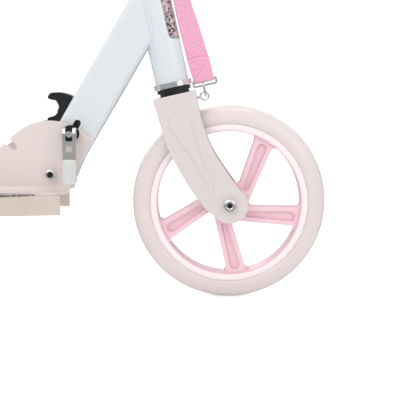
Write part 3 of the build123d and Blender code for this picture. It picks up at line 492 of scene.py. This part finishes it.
def skin(mesh, rings, around=True):
    """Faces from each ring of corners to the next; around also joins the last corner to the first."""
    for lower, upper in zip(rings, rings[1:]):
        for k in range(len(lower) if around else len(lower) - 1):
            m = (k + 1) % len(lower)
            mesh.faces.new((lower[k], lower[m], upper[m], upper[k]))


def close_ends(mesh, rings):
    mesh.faces.new(list(reversed(rings[0])))
    mesh.faces.new(rings[-1])


def prism(mesh, outline, low, high, place):
    """A closed block with the outline as its cross-section."""
    rings = []
    for height in (low, high):
        rings.append([mesh.verts.new(place @ Vector((u, v, height))) for u, v in outline])
    close_ends(mesh, rings)
    skin(mesh, rings)


def turned_ring(mesh, profile, place, segments):
    """A closed profile of (radius, height) points swept all round the local z axis."""
    rings = []
    for k in range(segments):
        angle = math.tau * k / segments
        ring = [
            mesh.verts.new(place @ Vector((r * math.cos(angle), r * math.sin(angle), h))) for r, h in profile
        ]
        rings.append(ring)
    for k in range(segments):
        ring, following = rings[k], rings[(k + 1) % segments]
        for j in range(len(profile)):
            m = (j + 1) % len(profile)
            mesh.faces.new((ring[j], following[j], following[m], ring[m]))


def make_piece(name, mesh, finish_name, smooth_angle=35):
    """An object from a bmesh, with outward faces, smooth shading and its finish."""
    bmesh.ops.recalc_face_normals(mesh, faces=mesh.faces)
    data = bpy.data.meshes.new(name)
    mesh.to_mesh(data)
    mesh.free()
    piece = bpy.data.objects.new(name, data)
    bpy.context.scene.collection.objects.link(piece)
    data.materials.append(finish(finish_name))
    data.shade_smooth()
    data.set_sharp_from_angle(angle=math.radians(smooth_angle))
    return piece


def apply_modifiers(piece):
    """Puts the mesh that the piece's modifiers make in place of its own."""
    graph = bpy.context.evaluated_depsgraph_get()
    data = bpy.data.meshes.new_from_object(
        piece.evaluated_get(graph), preserve_all_data_layers=True, depsgraph=graph
    )
    piece.modifiers.clear()
    piece.data = data
    data.name = piece.name


def flatten_shading(piece):
    """Lets the large flat faces shade flat and keeps the roundness in the small ones at the edges."""
    step = piece.modifiers.new("normals", "WEIGHTED_NORMAL")
    step.keep_sharp = True
    apply_modifiers(piece)


def settle(piece, smooth_angle=35):
    """Applies the piece's modifiers and sets which of the new edges are sharp."""
    apply_modifiers(piece)
    piece.data.shade_smooth()
    piece.data.set_sharp_from_angle(angle=math.radians(smooth_angle))


def bevel(piece, width, segments, angle):
    step = piece.modifiers.new("edges", "BEVEL")
    step.width = width
    step.segments = segments
    step.limit_method = "ANGLE"
    step.angle_limit = math.radians(angle)


def thicken(piece, thickness):
    """Gives a flat piece its thickness, half of it on each side."""
    step = piece.modifiers.new("sheet", "SOLIDIFY")
    step.thickness = thickness
    step.offset = 0


def combine(piece, tools, operation):
    """Joins the tools to the piece, or cuts them from it, and drops them."""
    for tool in tools:
        step = piece.modifiers.new("join", "BOOLEAN")
        step.operation = operation
        step.object = tool
        step.solver = "EXACT"
    bpy.context.view_layer.update()
    settle(piece)
    for tool in tools:
        bpy.data.objects.remove(tool)


def hand_over(piece, body, replaced=()):
    """Parents the piece to its body's empty and hides the CAD nodes that it stands for."""
    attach(piece, body)
    if replaced:
        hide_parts(*replaced)


def tube_along(mesh, points, radius, sides=10, closed=False):
    """A round bead or wire along a line of points."""
    count = len(points)
    side = None
    rings = []
    for k, point in enumerate(points):
        before = points[(k - 1) % count] if closed or k else points[k]
        after = points[(k + 1) % count] if closed or k < count - 1 else points[k]
        along = (after - before).normalized()
        side = along.orthogonal() if side is None else side - along * side.dot(along)
        side.normalize()
        other = along.cross(side)
        size = radius(k) if callable(radius) else radius
        ring = []
        for j in range(sides):
            angle = math.tau * j / sides
            out = side * math.cos(angle) + other * math.sin(angle)
            ring.append(mesh.verts.new(point + out * size))
        rings.append(ring)
    skin(mesh, rings + rings[:1] if closed else rings)
    if not closed:
        close_ends(mesh, rings)


# ---------------------------------------------------------------- operators, one per piece or group
class SCOOTER_OT_finishes(bpy.types.Operator):
    """Makes the materials and puts them on the CAD nodes"""

    bl_idname = "scooter.finishes"
    bl_label = "Finishes"

    def execute(self, context):
        make_finishes()
        slots = {part["node"]: part["material_slot"] for part in frame["record"]["subparts"]}
        for node, piece in NODES.items():
            if not piece.material_slots:
                piece.data.materials.append(None)
            for slot in piece.material_slots:
                slot.material = finish(slots[node])
        return {"FINISHED"}


class SCOOTER_OT_tyres(bpy.types.Operator):
    """Adds both tyres, with rounded side walls and a fine parting line round the tread"""

    bl_idname = "scooter.tyres"
    bl_label = "Tyres"

    def execute(self, context):
        sizes = context.scene.scooter_sizes
        low = sizes.rim_radius
        rise = sizes.tyre_radius - low
        half = sizes.tyre_half_width
        parting_line = 0.2 * MM
        wall = [(0.0, 0.81), (0.06, 0.93), (0.2, 0.99), (0.4, 0.97)]
        shoulder = [(0.62, 0.86), (0.8, 0.67), (0.93, 0.4), (0.998, 0.02)]
        side = curved(wall + shoulder, 5)
        side = [(low + rise * u, half * v) for u, v in side]
        profile = side + [(sizes.tyre_radius - parting_line, 0.0)] + [(r, -h) for r, h in reversed(side)]
        for end, axle in WHEELS:
            mesh = bmesh.new()
            turned_ring(mesh, profile, side_at(axle), WHEEL_SEGMENTS)
            piece = make_piece(end + "_tyre_moulding", mesh, "tyre_pu", 50)
            hand_over(piece, end + "_wheel", [end + "_tyre"])
        return {"FINISHED"}


class SCOOTER_OT_rim_covers(bpy.types.Operator):
    """Adds the pale glossy ring on both faces of each hub's rim; its near-white colour is partly the rim's pale
    face and partly a painted highlight
    """

    bl_idname = "scooter.rim_covers"
    bl_label = "Rim covers"

    def execute(self, context):
        low = 74.9 * MM  # outside the rim's inner edge, so that a thin line of the hub still shows
        high = context.scene.scooter_sizes.rim_radius + 0.2 * MM
        base = 12.0 * MM
        face = 13.2 * MM
        edge = 0.5 * MM
        for end, axle in WHEELS:
            mesh = bmesh.new()
            for side in (-1, 1):
                profile = [(low, side * base), (low, side * (face - edge)), (low + edge, side * face)]
                profile += [(high - edge, side * face), (high, side * (face - edge)), (high, side * base)]
                turned_ring(mesh, profile, side_at(axle), WHEEL_SEGMENTS)
            # The ring's near-white finish is partly the rim's pale face and partly a painted highlight.
            piece = make_piece(end + "_rim_covers", mesh, "rim_gloss", 50)
            hand_over(piece, end + "_wheel")
        return {"FINISHED"}


class SCOOTER_OT_fork(bpy.types.Operator):
    """Adds the cast fork: soft outer edges, a wheel slot and a raised panel on each leg"""

    bl_idname = "scooter.fork"
    bl_label = "Fork"

    def crown_point(self, ahead):
        level = -12.8 * MM
        point = HEAD_BASE + STEER_UP * level + STEER_AHEAD * ahead - FRONT_AXLE
        return (point.x / MM, point.z / MM)

    def execute(self, context):
        sizes = context.scene.scooter_sizes
        half = sizes.fork_half_width
        crown = 21.6 * MM
        ahead = curved(
            [self.crown_point(crown), (-30.7, 95), (-25.2, 76), (-16.8, 55.5), (-4.3, 35.5), (10.3, 15)]
        )
        end = round_points((0, 0), 19.0, 38, -142, 16)
        rear_edge = [(-24.5, -4.0), (-39, 15), (-51.3, 35.5), (-61.8, 55.7), (-68.7, 76), (-74.3, 96)]
        behind = curved([*rear_edge, self.crown_point(-crown)])
        place = side_at(FRONT_AXLE)
        mesh = bmesh.new()
        prism(mesh, scaled(ahead + end + behind), -half, half, place)
        piece = make_piece("fork_casting", mesh, "fork_paint")
        bevel(piece, 4.5 * MM, 5, 50)
        settle(piece)
        panel_rear = [(-19.5, 15.5), (-27, 29), (-38.5, 48), (-50.5, 64), (-60.5, 80), (-61.5, 87)]
        panel_top = [(-56, 92), (-49, 92.3), (-42.5, 89), (-38, 80)]
        panel_front = [(-32.5, 60), (-25.5, 38), (-17.5, 22), (-17, 16.5)]
        panel = curved(panel_rear + panel_top + panel_front, 4)
        pads = []
        for side in (-1, 1):
            mesh = bmesh.new()
            prism(mesh, scaled(panel), side * (half - 2 * MM), side * (half + 0.9 * MM), place)
            pad = make_piece("panel", mesh, "fork_paint")
            bevel(pad, 0.85 * MM, 4, 50)
            settle(pad)
            pads.append(pad)
        combine(piece, pads, "UNION")
        cutters = []
        mesh = bmesh.new()
        wheel_space = scaled(round_points((0, 0), 105, 0, 357.5, 143))
        prism(mesh, wheel_space, -sizes.fork_slot, sizes.fork_slot, place)
        cutters.append(make_piece("slot", mesh, "fork_paint"))
        mesh = bmesh.new()
        bore = scaled(round_points((0, 0), 4.1, 0, 350, 35))
        prism(mesh, bore, -2 * half, 2 * half, place)
        cutters.append(make_piece("bore", mesh, "fork_paint"))
        combine(piece, cutters, "DIFFERENCE")
        flatten_shading(piece)
        hand_over(piece, "steering", ["fork"])
        return {"FINISHED"}


class SCOOTER_OT_fold_bracket(bpy.types.Operator):
    """Adds the pressed fold bracket: two notched cheeks that flare into a foot flange, and its foot plate"""

    bl_idname = "scooter.fold_bracket"
    bl_label = "Fold bracket"

    def cheek_outline(self, radius, bend_level):
        """Cheek and flange laid flat: x from the pivot, and the distance below the bend, in millimetres."""
        notch_half = 3.3
        notch_depth = 46.5
        points = [(20.0, -1.0), (41, bend_level - 36.0)]
        start = 41.4
        for angle in (63.0, 143.0):
            out = Vector((math.cos(math.radians(angle)), math.sin(math.radians(angle))))
            side = Vector((-out.y, out.x))
            lean = math.degrees(math.asin(notch_half / radius))
            rim = round_points((0, 0), radius, start, angle - lean - 1.5, 10)
            seat = round_points(out * notch_depth, notch_half, angle - 90, angle - 270, 8)
            rim_out = out * (radius - 1.5)
            near = [tuple(rim_out - side * notch_half)]
            far = [tuple(rim_out + side * notch_half)]
            points += [(x, bend_level - z) for x, z in rim + near + seat + far]
            start = angle + lean + 1.5
        tail = curved([(-46.6, 31.2), (-52, 26.5), (-62, 17), (-74, 5.5), (-88, -5), (-104, -11.5)], 5)
        points += [(x, bend_level - z) for x, z in tail]
        points += [(-112, 4.0), (-117, 11.0), (-118.2, 16.0), (-116, 20.0), (-111, 22.0)]
        points += [(-6, 22.0), (2, 20.8), (10, 16.5), (16, 11.0), (19.2, 5.0)]
        return points

    def execute(self, context):
        sizes = context.scene.scooter_sizes
        bend_top = 7.0 * MM
        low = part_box("fold_bracket")[0][2]
        foot_level = low + 1.3 * MM
        bend_level = foot_level + bend_top
        bend_cuts = 13
        middle = 19.0 * MM
        flat_bend = bend_top * math.pi / 2
        outline = self.cheek_outline(sizes.cheek_radius / MM, (bend_level - PIVOT.z) / MM)
        pieces = bmesh.new()
        for side in (-1, 1):
            sheet = bmesh.new()
            corners = [sheet.verts.new((x * MM, s * MM, 0)) for x, s in outline]
            sheet.faces.new(corners)
            for k in range(bend_cuts):
                cut = (k - 0.5) * MM
                whole = sheet.verts[:] + sheet.edges[:] + sheet.faces[:]
                bmesh.ops.bisect_plane(sheet, geom=whole, plane_co=(0, cut, 0), plane_no=(0, 1, 0))
            for corner in sheet.verts:
                x, drop, _ = corner.co
                if drop <= 0:
                    out, level = middle, bend_level - drop
                elif drop < flat_bend:
                    angle = drop / bend_top
                    out = middle + bend_top * (1 - math.cos(angle))
                    level = bend_level - bend_top * math.sin(angle)
                else:
                    out, level = middle + bend_top + drop - flat_bend, foot_level
                corner.co = Vector((PIVOT.x + x, side * out, level))
            cheek = make_piece("cheek", sheet, "bracket_paint")
            thicken(cheek, 2.9 * MM)
            bevel(cheek, 0.7 * MM, 3, 50)
            settle(cheek)
            pieces.from_mesh(cheek.data)
            bpy.data.objects.remove(cheek)
        half_plate = [(14, 22), (8, 26), (-100, 26), (-110, 24)]
        plate = scaled([(x, -y) for x, y in reversed(half_plate)] + half_plate)
        flat = axes_at(Vector((PIVOT.x, 0, 0)), Vector((1, 0, 0)), Vector((0, 1, 0)))
        prism(pieces, plate, low + 0.1 * MM, low + 2.3 * MM, flat)
        piece = make_piece("fold_bracket_pressing", pieces, "bracket_paint")
        flatten_shading(piece)
        hand_over(piece, "deck", ["fold_bracket"])
        return {"FINISHED"}


class SCOOTER_OT_release_hook(bpy.types.Operator):
    """Adds the finger-pull of the latch with its soft moulded edges"""

    bl_idname = "scooter.release_hook"
    bl_label = "Release hook"

    def execute(self, context):
        back = [(78.5, 21.5), (78.2, 26), (75.7, 34), (71.5, 41)]
        tip = [(68.5, 43.0), (64.5, 42.4), (64.6, 38.5)]
        outer = curved(back + tip, 5)
        finger_hollow = [(66.4, 34), (62, 28.0), (54.5, 26.9), (50, 29.5)]
        heel = [(47.2, 32.2), (44.2, 31.0), (44.8, 25), (47.2, 20.9)]
        inner = curved(finger_hollow + heel, 5)
        place = axes_at(PIVOT, NECK_UP, NECK_BACK)
        mesh = bmesh.new()
        prism(mesh, scaled(outer + inner), -8 * MM, 8 * MM, place)
        stem = scaled([(52, 16.9), (66, 16.9), (66, 21.5), (52, 21.5)])
        prism(mesh, stem, -4 * MM, 4 * MM, place)
        piece = make_piece("release_hook_moulding", mesh, "black_plastic")
        bevel(piece, 1.6 * MM, 4, 50)
        settle(piece)
        flatten_shading(piece)
        hand_over(piece, "latch", ["release_hook"])
        return {"FINISHED"}


class SCOOTER_OT_lever_sleeve(bpy.types.Operator):
    """Adds the clear push-on sleeve of the fold lever"""

    bl_idname = "scooter.lever_sleeve"
    bl_label = "Lever sleeve"

    def execute(self, context):
        middle, half = node_box("lever_sleeve")
        around = 24
        squareness = 0.45
        sections = (
            (-1.0, 0.62, 0.5),
            (-0.93, 0.88, 0.8),
            (-0.75, 1.0, 1.0),
            (0.0, 0.98, 0.95),
            (0.85, 0.95, 0.9),
            (1.0, 0.88, 0.8),
        )
        mesh = bmesh.new()
        rings = []
        for height, wide, deep in sections:
            ring = []
            for k in range(around):
                angle = math.tau * k / around
                u = math.copysign(abs(math.cos(angle)) ** squareness, math.cos(angle))
                v = math.copysign(abs(math.sin(angle)) ** squareness, math.sin(angle))
                offset = Vector((u * half.x * wide, v * half.y * deep, height * half.z))
                ring.append(mesh.verts.new(middle + offset))
            rings.append(ring)
        skin(mesh, rings)
        close_ends(mesh, rings)
        piece = make_piece("lever_sleeve_moulding", mesh, "clear_plastic", 60)
        hand_over(piece, "fold_lever", ["lever_sleeve"])
        return {"FINISHED"}


class SCOOTER_OT_strap(bpy.types.Operator):
    """Adds the carry strap: one length of webbing, folded round the lower ring and stitched"""

    bl_idname = "scooter.strap"
    bl_label = "Carry strap"

    # Level up the column, distance ahead of it and twist, in millimetres and degrees.
    STATIONS = (
        (-6.0, 32.2, 0.0),
        (20.0, 30.8, 10.0),
        (50.0, 29.0, 27.0),
        (80.0, 27.4, 45.0),
        (110.0, 25.6, 64.0),
        (142.0, 25.0, 82.0),
        (200.0, 25.2, 90.0),
        (352.0, 27.8, 90.0),
    )
    LAYER_GAP = 0.85

    def frame_at(self, level):
        """Middle, width direction and face direction of the webbing at a level in millimetres."""
        for low, high in zip(self.STATIONS, self.STATIONS[1:]):
            if level <= high[0]:
                break
        share = (level - low[0]) / (high[0] - low[0])
        ahead = low[1] + (high[1] - low[1]) * share
        twist = math.radians(low[2] + (high[2] - low[2]) * share)
        width = STEER_AHEAD * math.cos(twist) + Vector((0, math.sin(twist), 0))
        middle = HEAD_BASE + STEER_UP * (level * MM) + STEER_AHEAD * (ahead * MM)
        return middle, width, STEER_UP.cross(width)

    def band_path(self):
        """Level and offset of each row of the band: down the short layer, round the ring and up."""
        bar_level = -4.35
        bar_reach = 1.95
        seam_level = 19.0
        top = 351.0
        rise = seam_level - bar_level

        def spread(level):
            return self.LAYER_GAP + (bar_reach - self.LAYER_GAP) * max(0.0, 1 - (level - bar_level) / 9)

        path = []
        for step in range(9):
            level = seam_level - rise * step / 9
            path.append((level, -spread(level)))
        path += round_points((bar_level, 0), bar_reach, 270, 90, 8)
        for step in range(1, 9):
            level = bar_level + rise * step / 8
            path.append((level, spread(level)))
        for step in range(1, 84):
            level = seam_level + (top - seam_level) * step / 83
            path.append((level, self.LAYER_GAP * max(0.0, 1 - (level - seam_level) / 8)))
        return path

    def execute(self, context):
        sizes = context.scene.scooter_sizes
        lowest = self.STATIONS[0][0]
        mesh = bmesh.new()
        uv = mesh.loops.layers.uv.new("weave")
        across = 8
        rows = []
        travelled = 0.0
        last = None
        for level, offset in self.band_path():
            middle, width, face = self.frame_at(max(level, lowest))
            if level < lowest:
                middle = middle + STEER_UP * ((level - lowest) * MM)
            point = middle + face * (offset * MM)
            if last is not None:
                travelled += (point - last).length
            last = point
            row = []
            gathered = 1 - 0.05 * max(0.0, min(1.0, (9.0 - level) / 10))
            for k in range(across + 1):
                reach = (k / across - 0.5) * sizes.strap_width * gathered
                row.append((mesh.verts.new(point + width * reach), reach, travelled))
            rows.append(row)
        for lower, upper in zip(rows, rows[1:]):
            for k in range(across):
                corners = (lower[k], lower[k + 1], upper[k + 1], upper[k])
                face = mesh.faces.new([corner[0] for corner in corners])
                for loop, corner in zip(face.loops, corners):
                    loop[uv].uv = (corner[1], corner[2])
        piece = make_piece("strap_band", mesh, "webbing", 60)
        thicken(piece, sizes.strap_sheet)
        bevel(piece, 0.35 * MM, 2, 50)
        settle(piece, 60)
        hand_over(piece, "steering", ["strap_webbing"])
        self.add_stitches(sizes)
        return {"FINISHED"}

    def add_stitches(self, sizes):
        """Two rows of thread across the webbing at the fold, on both faces."""
        mesh = bmesh.new()
        stitches = 8
        row_width = 0.9 * sizes.strap_width
        stitch = 0.62 * row_width / stitches
        sunk = 0.25 * MM
        lift = self.LAYER_GAP * MM + sizes.strap_sheet / 2 + 0.05 * MM
        for level in (8.0, 15.5):
            middle, width, face = self.frame_at(level)
            for side in (-1, 1):
                out = face * side
                for k in range(stitches):
                    origin = middle + out * lift + width * (((k + 0.2) / stitches - 0.5) * row_width)
                    line = [
                        origin - out * sunk,
                        origin + width * stitch * 0.25,
                        origin + width * stitch * 0.75,
                        origin + width * stitch - out * sunk,
                    ]
                    tube_along(mesh, line, 0.3 * MM, 6)
        piece = make_piece("strap_stitches", mesh, "thread", 60)
        hand_over(piece, "steering")


class SCOOTER_OT_head_decal(bpy.types.Operator):
    """Adds the printed film round the front of the head tube"""

    bl_idname = "scooter.head_decal"
    bl_label = "Head tube decal"

    def execute(self, context):
        sizes = context.scene.scooter_sizes
        surface = HEAD_RADIUS + 0.12 * MM
        reach = math.radians(66)
        corner = 5.0 * MM
        mesh = bmesh.new()
        rows = 40
        columns = 40
        grid = []
        for i in range(rows + 1):
            level = sizes.decal_low + (sizes.decal_high - sizes.decal_low) * i / rows
            edge = min(level - sizes.decal_low, sizes.decal_high - level)
            inset = corner - math.sqrt(max(corner ** 2 - max(corner - edge, 0) ** 2, 0))
            span = reach - inset / surface
            row = []
            for j in range(columns + 1):
                angle = span * (2 * j / columns - 1)
                out = STEER_AHEAD * math.cos(angle) + ACROSS * math.sin(angle)
                row.append(mesh.verts.new(HEAD_BASE + STEER_UP * level + out * surface))
            grid.append(row)
        skin(mesh, grid, around=False)
        piece = make_piece("head_tube_decal", mesh, "decal", 60)
        thicken(piece, 0.16 * MM)
        settle(piece, 60)
        hand_over(piece, "neck")
        return {"FINISHED"}


class SCOOTER_OT_weld_beads(bpy.types.Operator):
    """Adds the painted weld bead where the neck meets the head tube"""

    bl_idname = "scooter.weld_beads"
    bl_label = "Weld bead"

    def execute(self, context):
        half_height = 20.0 * MM
        half_width = 14.6 * MM
        corner = 4.0 * MM
        loop = []
        for u, v, start in ((1, 1, 0), (-1, 1, 90), (-1, -1, 180), (1, -1, 270)):
            centre = (u * (half_height - corner), v * (half_width - corner))
            loop += round_points(centre, corner, start, start + 90, 6)
        points = []
        for index, (back, out) in enumerate(loop):
            following = loop[(index + 1) % len(loop)]
            gap = math.dist((back, out), following)
            steps = max(1, round(gap / (2 * MM)))
            for step in range(steps):
                share = step / steps
                b = back + (following[0] - back) * share
                y = out + (following[1] - out) * share
                points.append(self.on_head_tube(PIVOT + NECK_BACK * b + Vector((0, y, 0))))
        mesh = bmesh.new()
        tube_along(mesh, points, lambda k: (1.7 + 0.25 * math.sin(k * 2.1)) * MM, 10, True)
        piece = make_piece("neck_weld_bead", mesh, "frame_paint", 80)
        hand_over(piece, "neck")
        return {"FINISHED"}

    def on_head_tube(self, start):
        """Where a line up the neck from start meets the head tube's surface."""
        low, high = 0.0, 0.35
        for _ in range(40):
            middle = (low + high) / 2
            offset = start + NECK_UP * middle - HEAD_BASE
            ahead = offset.dot(STEER_AHEAD)
            reach = math.sqrt(max(HEAD_RADIUS ** 2 - offset.y ** 2, 0))
            if ahead < -reach:
                low = middle
            else:
                high = middle
        return start + NECK_UP * low


class SCOOTER_OT_grips(bpy.types.Operator):
    """Adds the ribbed grips with their end flanges"""

    bl_idname = "scooter.grips"
    bl_label = "Grips"

    def execute(self, context):
        sizes = context.scene.scooter_sizes
        bore = 11.15 * MM
        inner = 78.0 * MM
        outer = 190.8 * MM
        rib = 3.4 * MM
        flange = 19.8 * MM
        flange_edge = 18.5 * MM
        profile = [
            (bore, inner),
            (flange_edge, inner),
            (flange, inner + 1.2 * MM),
            (flange, inner + 2.8 * MM),
            (flange_edge, inner + 4 * MM),
            (15 * MM, inner + 6 * MM),
        ]
        place = inner + 8 * MM
        while place < outer - 6 * MM:
            profile += [
                (sizes.grip_radius - 1.1 * MM, place),
                (sizes.grip_radius - 0.15 * MM, place + rib * 0.25),
                (sizes.grip_radius, place + rib * 0.5),
                (sizes.grip_radius - 0.15 * MM, place + rib * 0.75),
            ]
            place += rib
        profile += [
            (15 * MM, outer - 4 * MM),
            (15.4 * MM, outer - 1.5 * MM),
            (14.6 * MM, outer),
            (bore, outer),
        ]
        mesh = bmesh.new()
        for side in (-1, 1):
            turned_ring(mesh, profile, axes_at(BAR_MIDDLE, Vector((0, 0, side)), Vector((1, 0, 0))), 72)
        piece = make_piece("ribbed_grips", mesh, "grip_rubber", 60)
        hand_over(piece, "t_bar", ["grips"])
        return {"FINISHED"}


class SCOOTER_OT_bolt_heads(bpy.types.Operator):
    """Adds the domed heads of the axles and the pivot bolt, each with a black hexagon disc in its socket as
    painted shade
    """

    bl_idname = "scooter.bolt_heads"
    bl_label = "Bolt heads"

    def execute(self, context):
        socket = 2.9 * MM
        for name, body, centre in (
            ("front_axle", "steering", FRONT_AXLE),
            ("rear_axle", "deck", REAR_AXLE),
            ("pivot_bolt", "deck", PIVOT),
        ):
            low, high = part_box(name)
            radius = (high[0] - low[0]) / 2 - 0.2 * MM
            place = side_at(Vector((centre.x, low[1], centre.z)))
            edge = radius - socket
            profile = [(socket, -0.4), (socket, 1.0), (socket + edge * 0.2, 1.5), (socket + edge * 0.5, 1.4)]
            profile += [(socket + edge * 0.8, 0.9), (radius, 0.2), (radius, -0.4)]
            mesh = bmesh.new()
            turned_ring(mesh, [(r, h * MM) for r, h in profile], place, 48)
            dome = make_piece(name + "_dome", mesh, "chrome", 50)
            hand_over(dome, body)
            # A black hexagon disc at the socket's floor: painted shade for the dark inside of the socket.
            mesh = bmesh.new()
            prism(mesh, round_points((0, 0), socket + 0.1 * MM, 0, 300, 5), 0.1 * MM, 0.5 * MM, place)
            socket_shade = make_piece(name + "_socket", mesh, "black_plastic")
            hand_over(socket_shade, body)
        return {"FINISHED"}


class SCOOTER_OT_stage(bpy.types.Operator):
    """Adds the camera, the soft lights and the pale floor"""

    bl_idname = "scooter.stage"
    bl_label = "Stage"

    def execute(self, context):
        stage = context.scene.scooter_stage
        camera = bpy.data.objects.new("camera", bpy.data.cameras.new("camera"))
        camera.data.lens = stage.focal_length
        camera.data.sensor_width = 36
        camera.location = (FRONT_AXLE.x - 30.1 * MM, -949.3 * MM, 226.8 * MM)
        camera.rotation_euler = (stage.pitch, 0, 0)
        context.scene.collection.objects.link(camera)
        context.scene.camera = camera
        mesh = bmesh.new()
        half = stage.floor_size / 2
        square = ((-half, -half), (half, -half), (half, half), (-half, half))
        mesh.faces.new([mesh.verts.new((x, y, 0)) for x, y in square])
        material = plain_finish(
            "floor", (0.93, 0.93, 0.93), 0.9, 0.01, 2.0, 60.0, 0.02, **{"Emission Color": (1, 1, 1, 1)}
        )
        tree = material.node_tree
        seen = tree.nodes.new("ShaderNodeLightPath").outputs["Is Camera Ray"]
        glow = map_range(tree, seen, To_Min=0.1, To_Max=0.5)
        tree.links.new(glow, tree.nodes["Principled BSDF"].inputs["Emission Strength"])
        floor = make_piece("floor", mesh, "floor")
        floor.visible_glossy = False
        world = bpy.data.worlds.new("studio")
        world.use_nodes = True
        tree = world.node_tree
        backdrop = tree.nodes["Background"]
        backdrop.inputs["Color"].default_value = (1, 1, 1, 1)
        seen = tree.nodes.new("ShaderNodeLightPath").outputs["Is Camera Ray"]
        direction = tree.nodes.new("ShaderNodeTexCoord").outputs["Generated"]
        parts = add_node(tree, "ShaderNodeSeparateXYZ", [(0, direction)])
        sky = map_range(tree, parts.outputs[2], From_Min=0.02, From_Max=0.42, To_Min=0.4, To_Max=0.93)
        sky.node.interpolation_type = "SMOOTHSTEP"
        strength = map_range(tree, seen, To_Min=sky, To_Max=1.05)
        tree.links.new(strength, backdrop.inputs["Strength"])
        context.scene.world = world
        context.scene.view_settings.view_transform = "Standard"
        target = Vector((0.15, 0, 0.2))
        for name, place, size, power in (
            ("key", (-0.7, -1.4, 1.5), 0.9, 7.7),
            ("fill", (1.5, -1.2, 0.9), 1.2, 2.5),
            ("top", (0.2, 0.3, 2.0), 1.2, 4.3),
            ("back", (-0.4, 1.6, 1.0), 1.4, 3.4),
        ):
            lamp = bpy.data.objects.new(name, bpy.data.lights.new(name, "AREA"))
            lamp.data.size = size
            lamp.data.energy = power
            lamp.location = place
            lamp.rotation_euler = (target - Vector(place)).to_track_quat("-Z", "Y").to_euler()
            context.scene.collection.objects.link(lamp)
        return {"FINISHED"}


OPERATORS = (
    SCOOTER_OT_finishes,
    SCOOTER_OT_tyres,
    SCOOTER_OT_rim_covers,
    SCOOTER_OT_fork,
    SCOOTER_OT_fold_bracket,
    SCOOTER_OT_release_hook,
    SCOOTER_OT_lever_sleeve,
    SCOOTER_OT_strap,
    SCOOTER_OT_head_decal,
    SCOOTER_OT_weld_beads,
    SCOOTER_OT_grips,
    SCOOTER_OT_bolt_heads,
    SCOOTER_OT_stage,
)


class SCOOTER_PT_pieces(bpy.types.Panel):
    """Lists the scooter's pieces and their sizes and colours"""

    bl_idname = "SCOOTER_PT_pieces"
    bl_label = "Scooter"
    bl_space_type = "VIEW_3D"
    bl_region_type = "UI"
    bl_category = "Scooter"

    def draw(self, context):
        for operator in OPERATORS:
            self.layout.operator(operator.bl_idname)
        scene = context.scene
        for settings in (scene.scooter_sizes, scene.scooter_colours, scene.scooter_stage):
            for name in settings.__annotations__:
                self.layout.prop(settings, name)


CLASSES = (ScooterColours, ScooterSizes, ScooterStage, *OPERATORS, SCOOTER_PT_pieces)


def register():
    for item in CLASSES:
        bpy.utils.register_class(item)
    bpy.types.Scene.scooter_colours = bpy.props.PointerProperty(type=ScooterColours)
    bpy.types.Scene.scooter_sizes = bpy.props.PointerProperty(type=ScooterSizes)
    bpy.types.Scene.scooter_stage = bpy.props.PointerProperty(type=ScooterStage)


def unregister():
    del bpy.types.Scene.scooter_stage
    del bpy.types.Scene.scooter_sizes
    del bpy.types.Scene.scooter_colours
    for item in reversed(CLASSES):
        bpy.utils.unregister_class(item)


def main():
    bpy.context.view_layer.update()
    register()
    for operator in OPERATORS:
        group, name = operator.bl_idname.split(".")
        getattr(getattr(bpy.ops, group), name)()


if __name__ == "__main__":
    main()
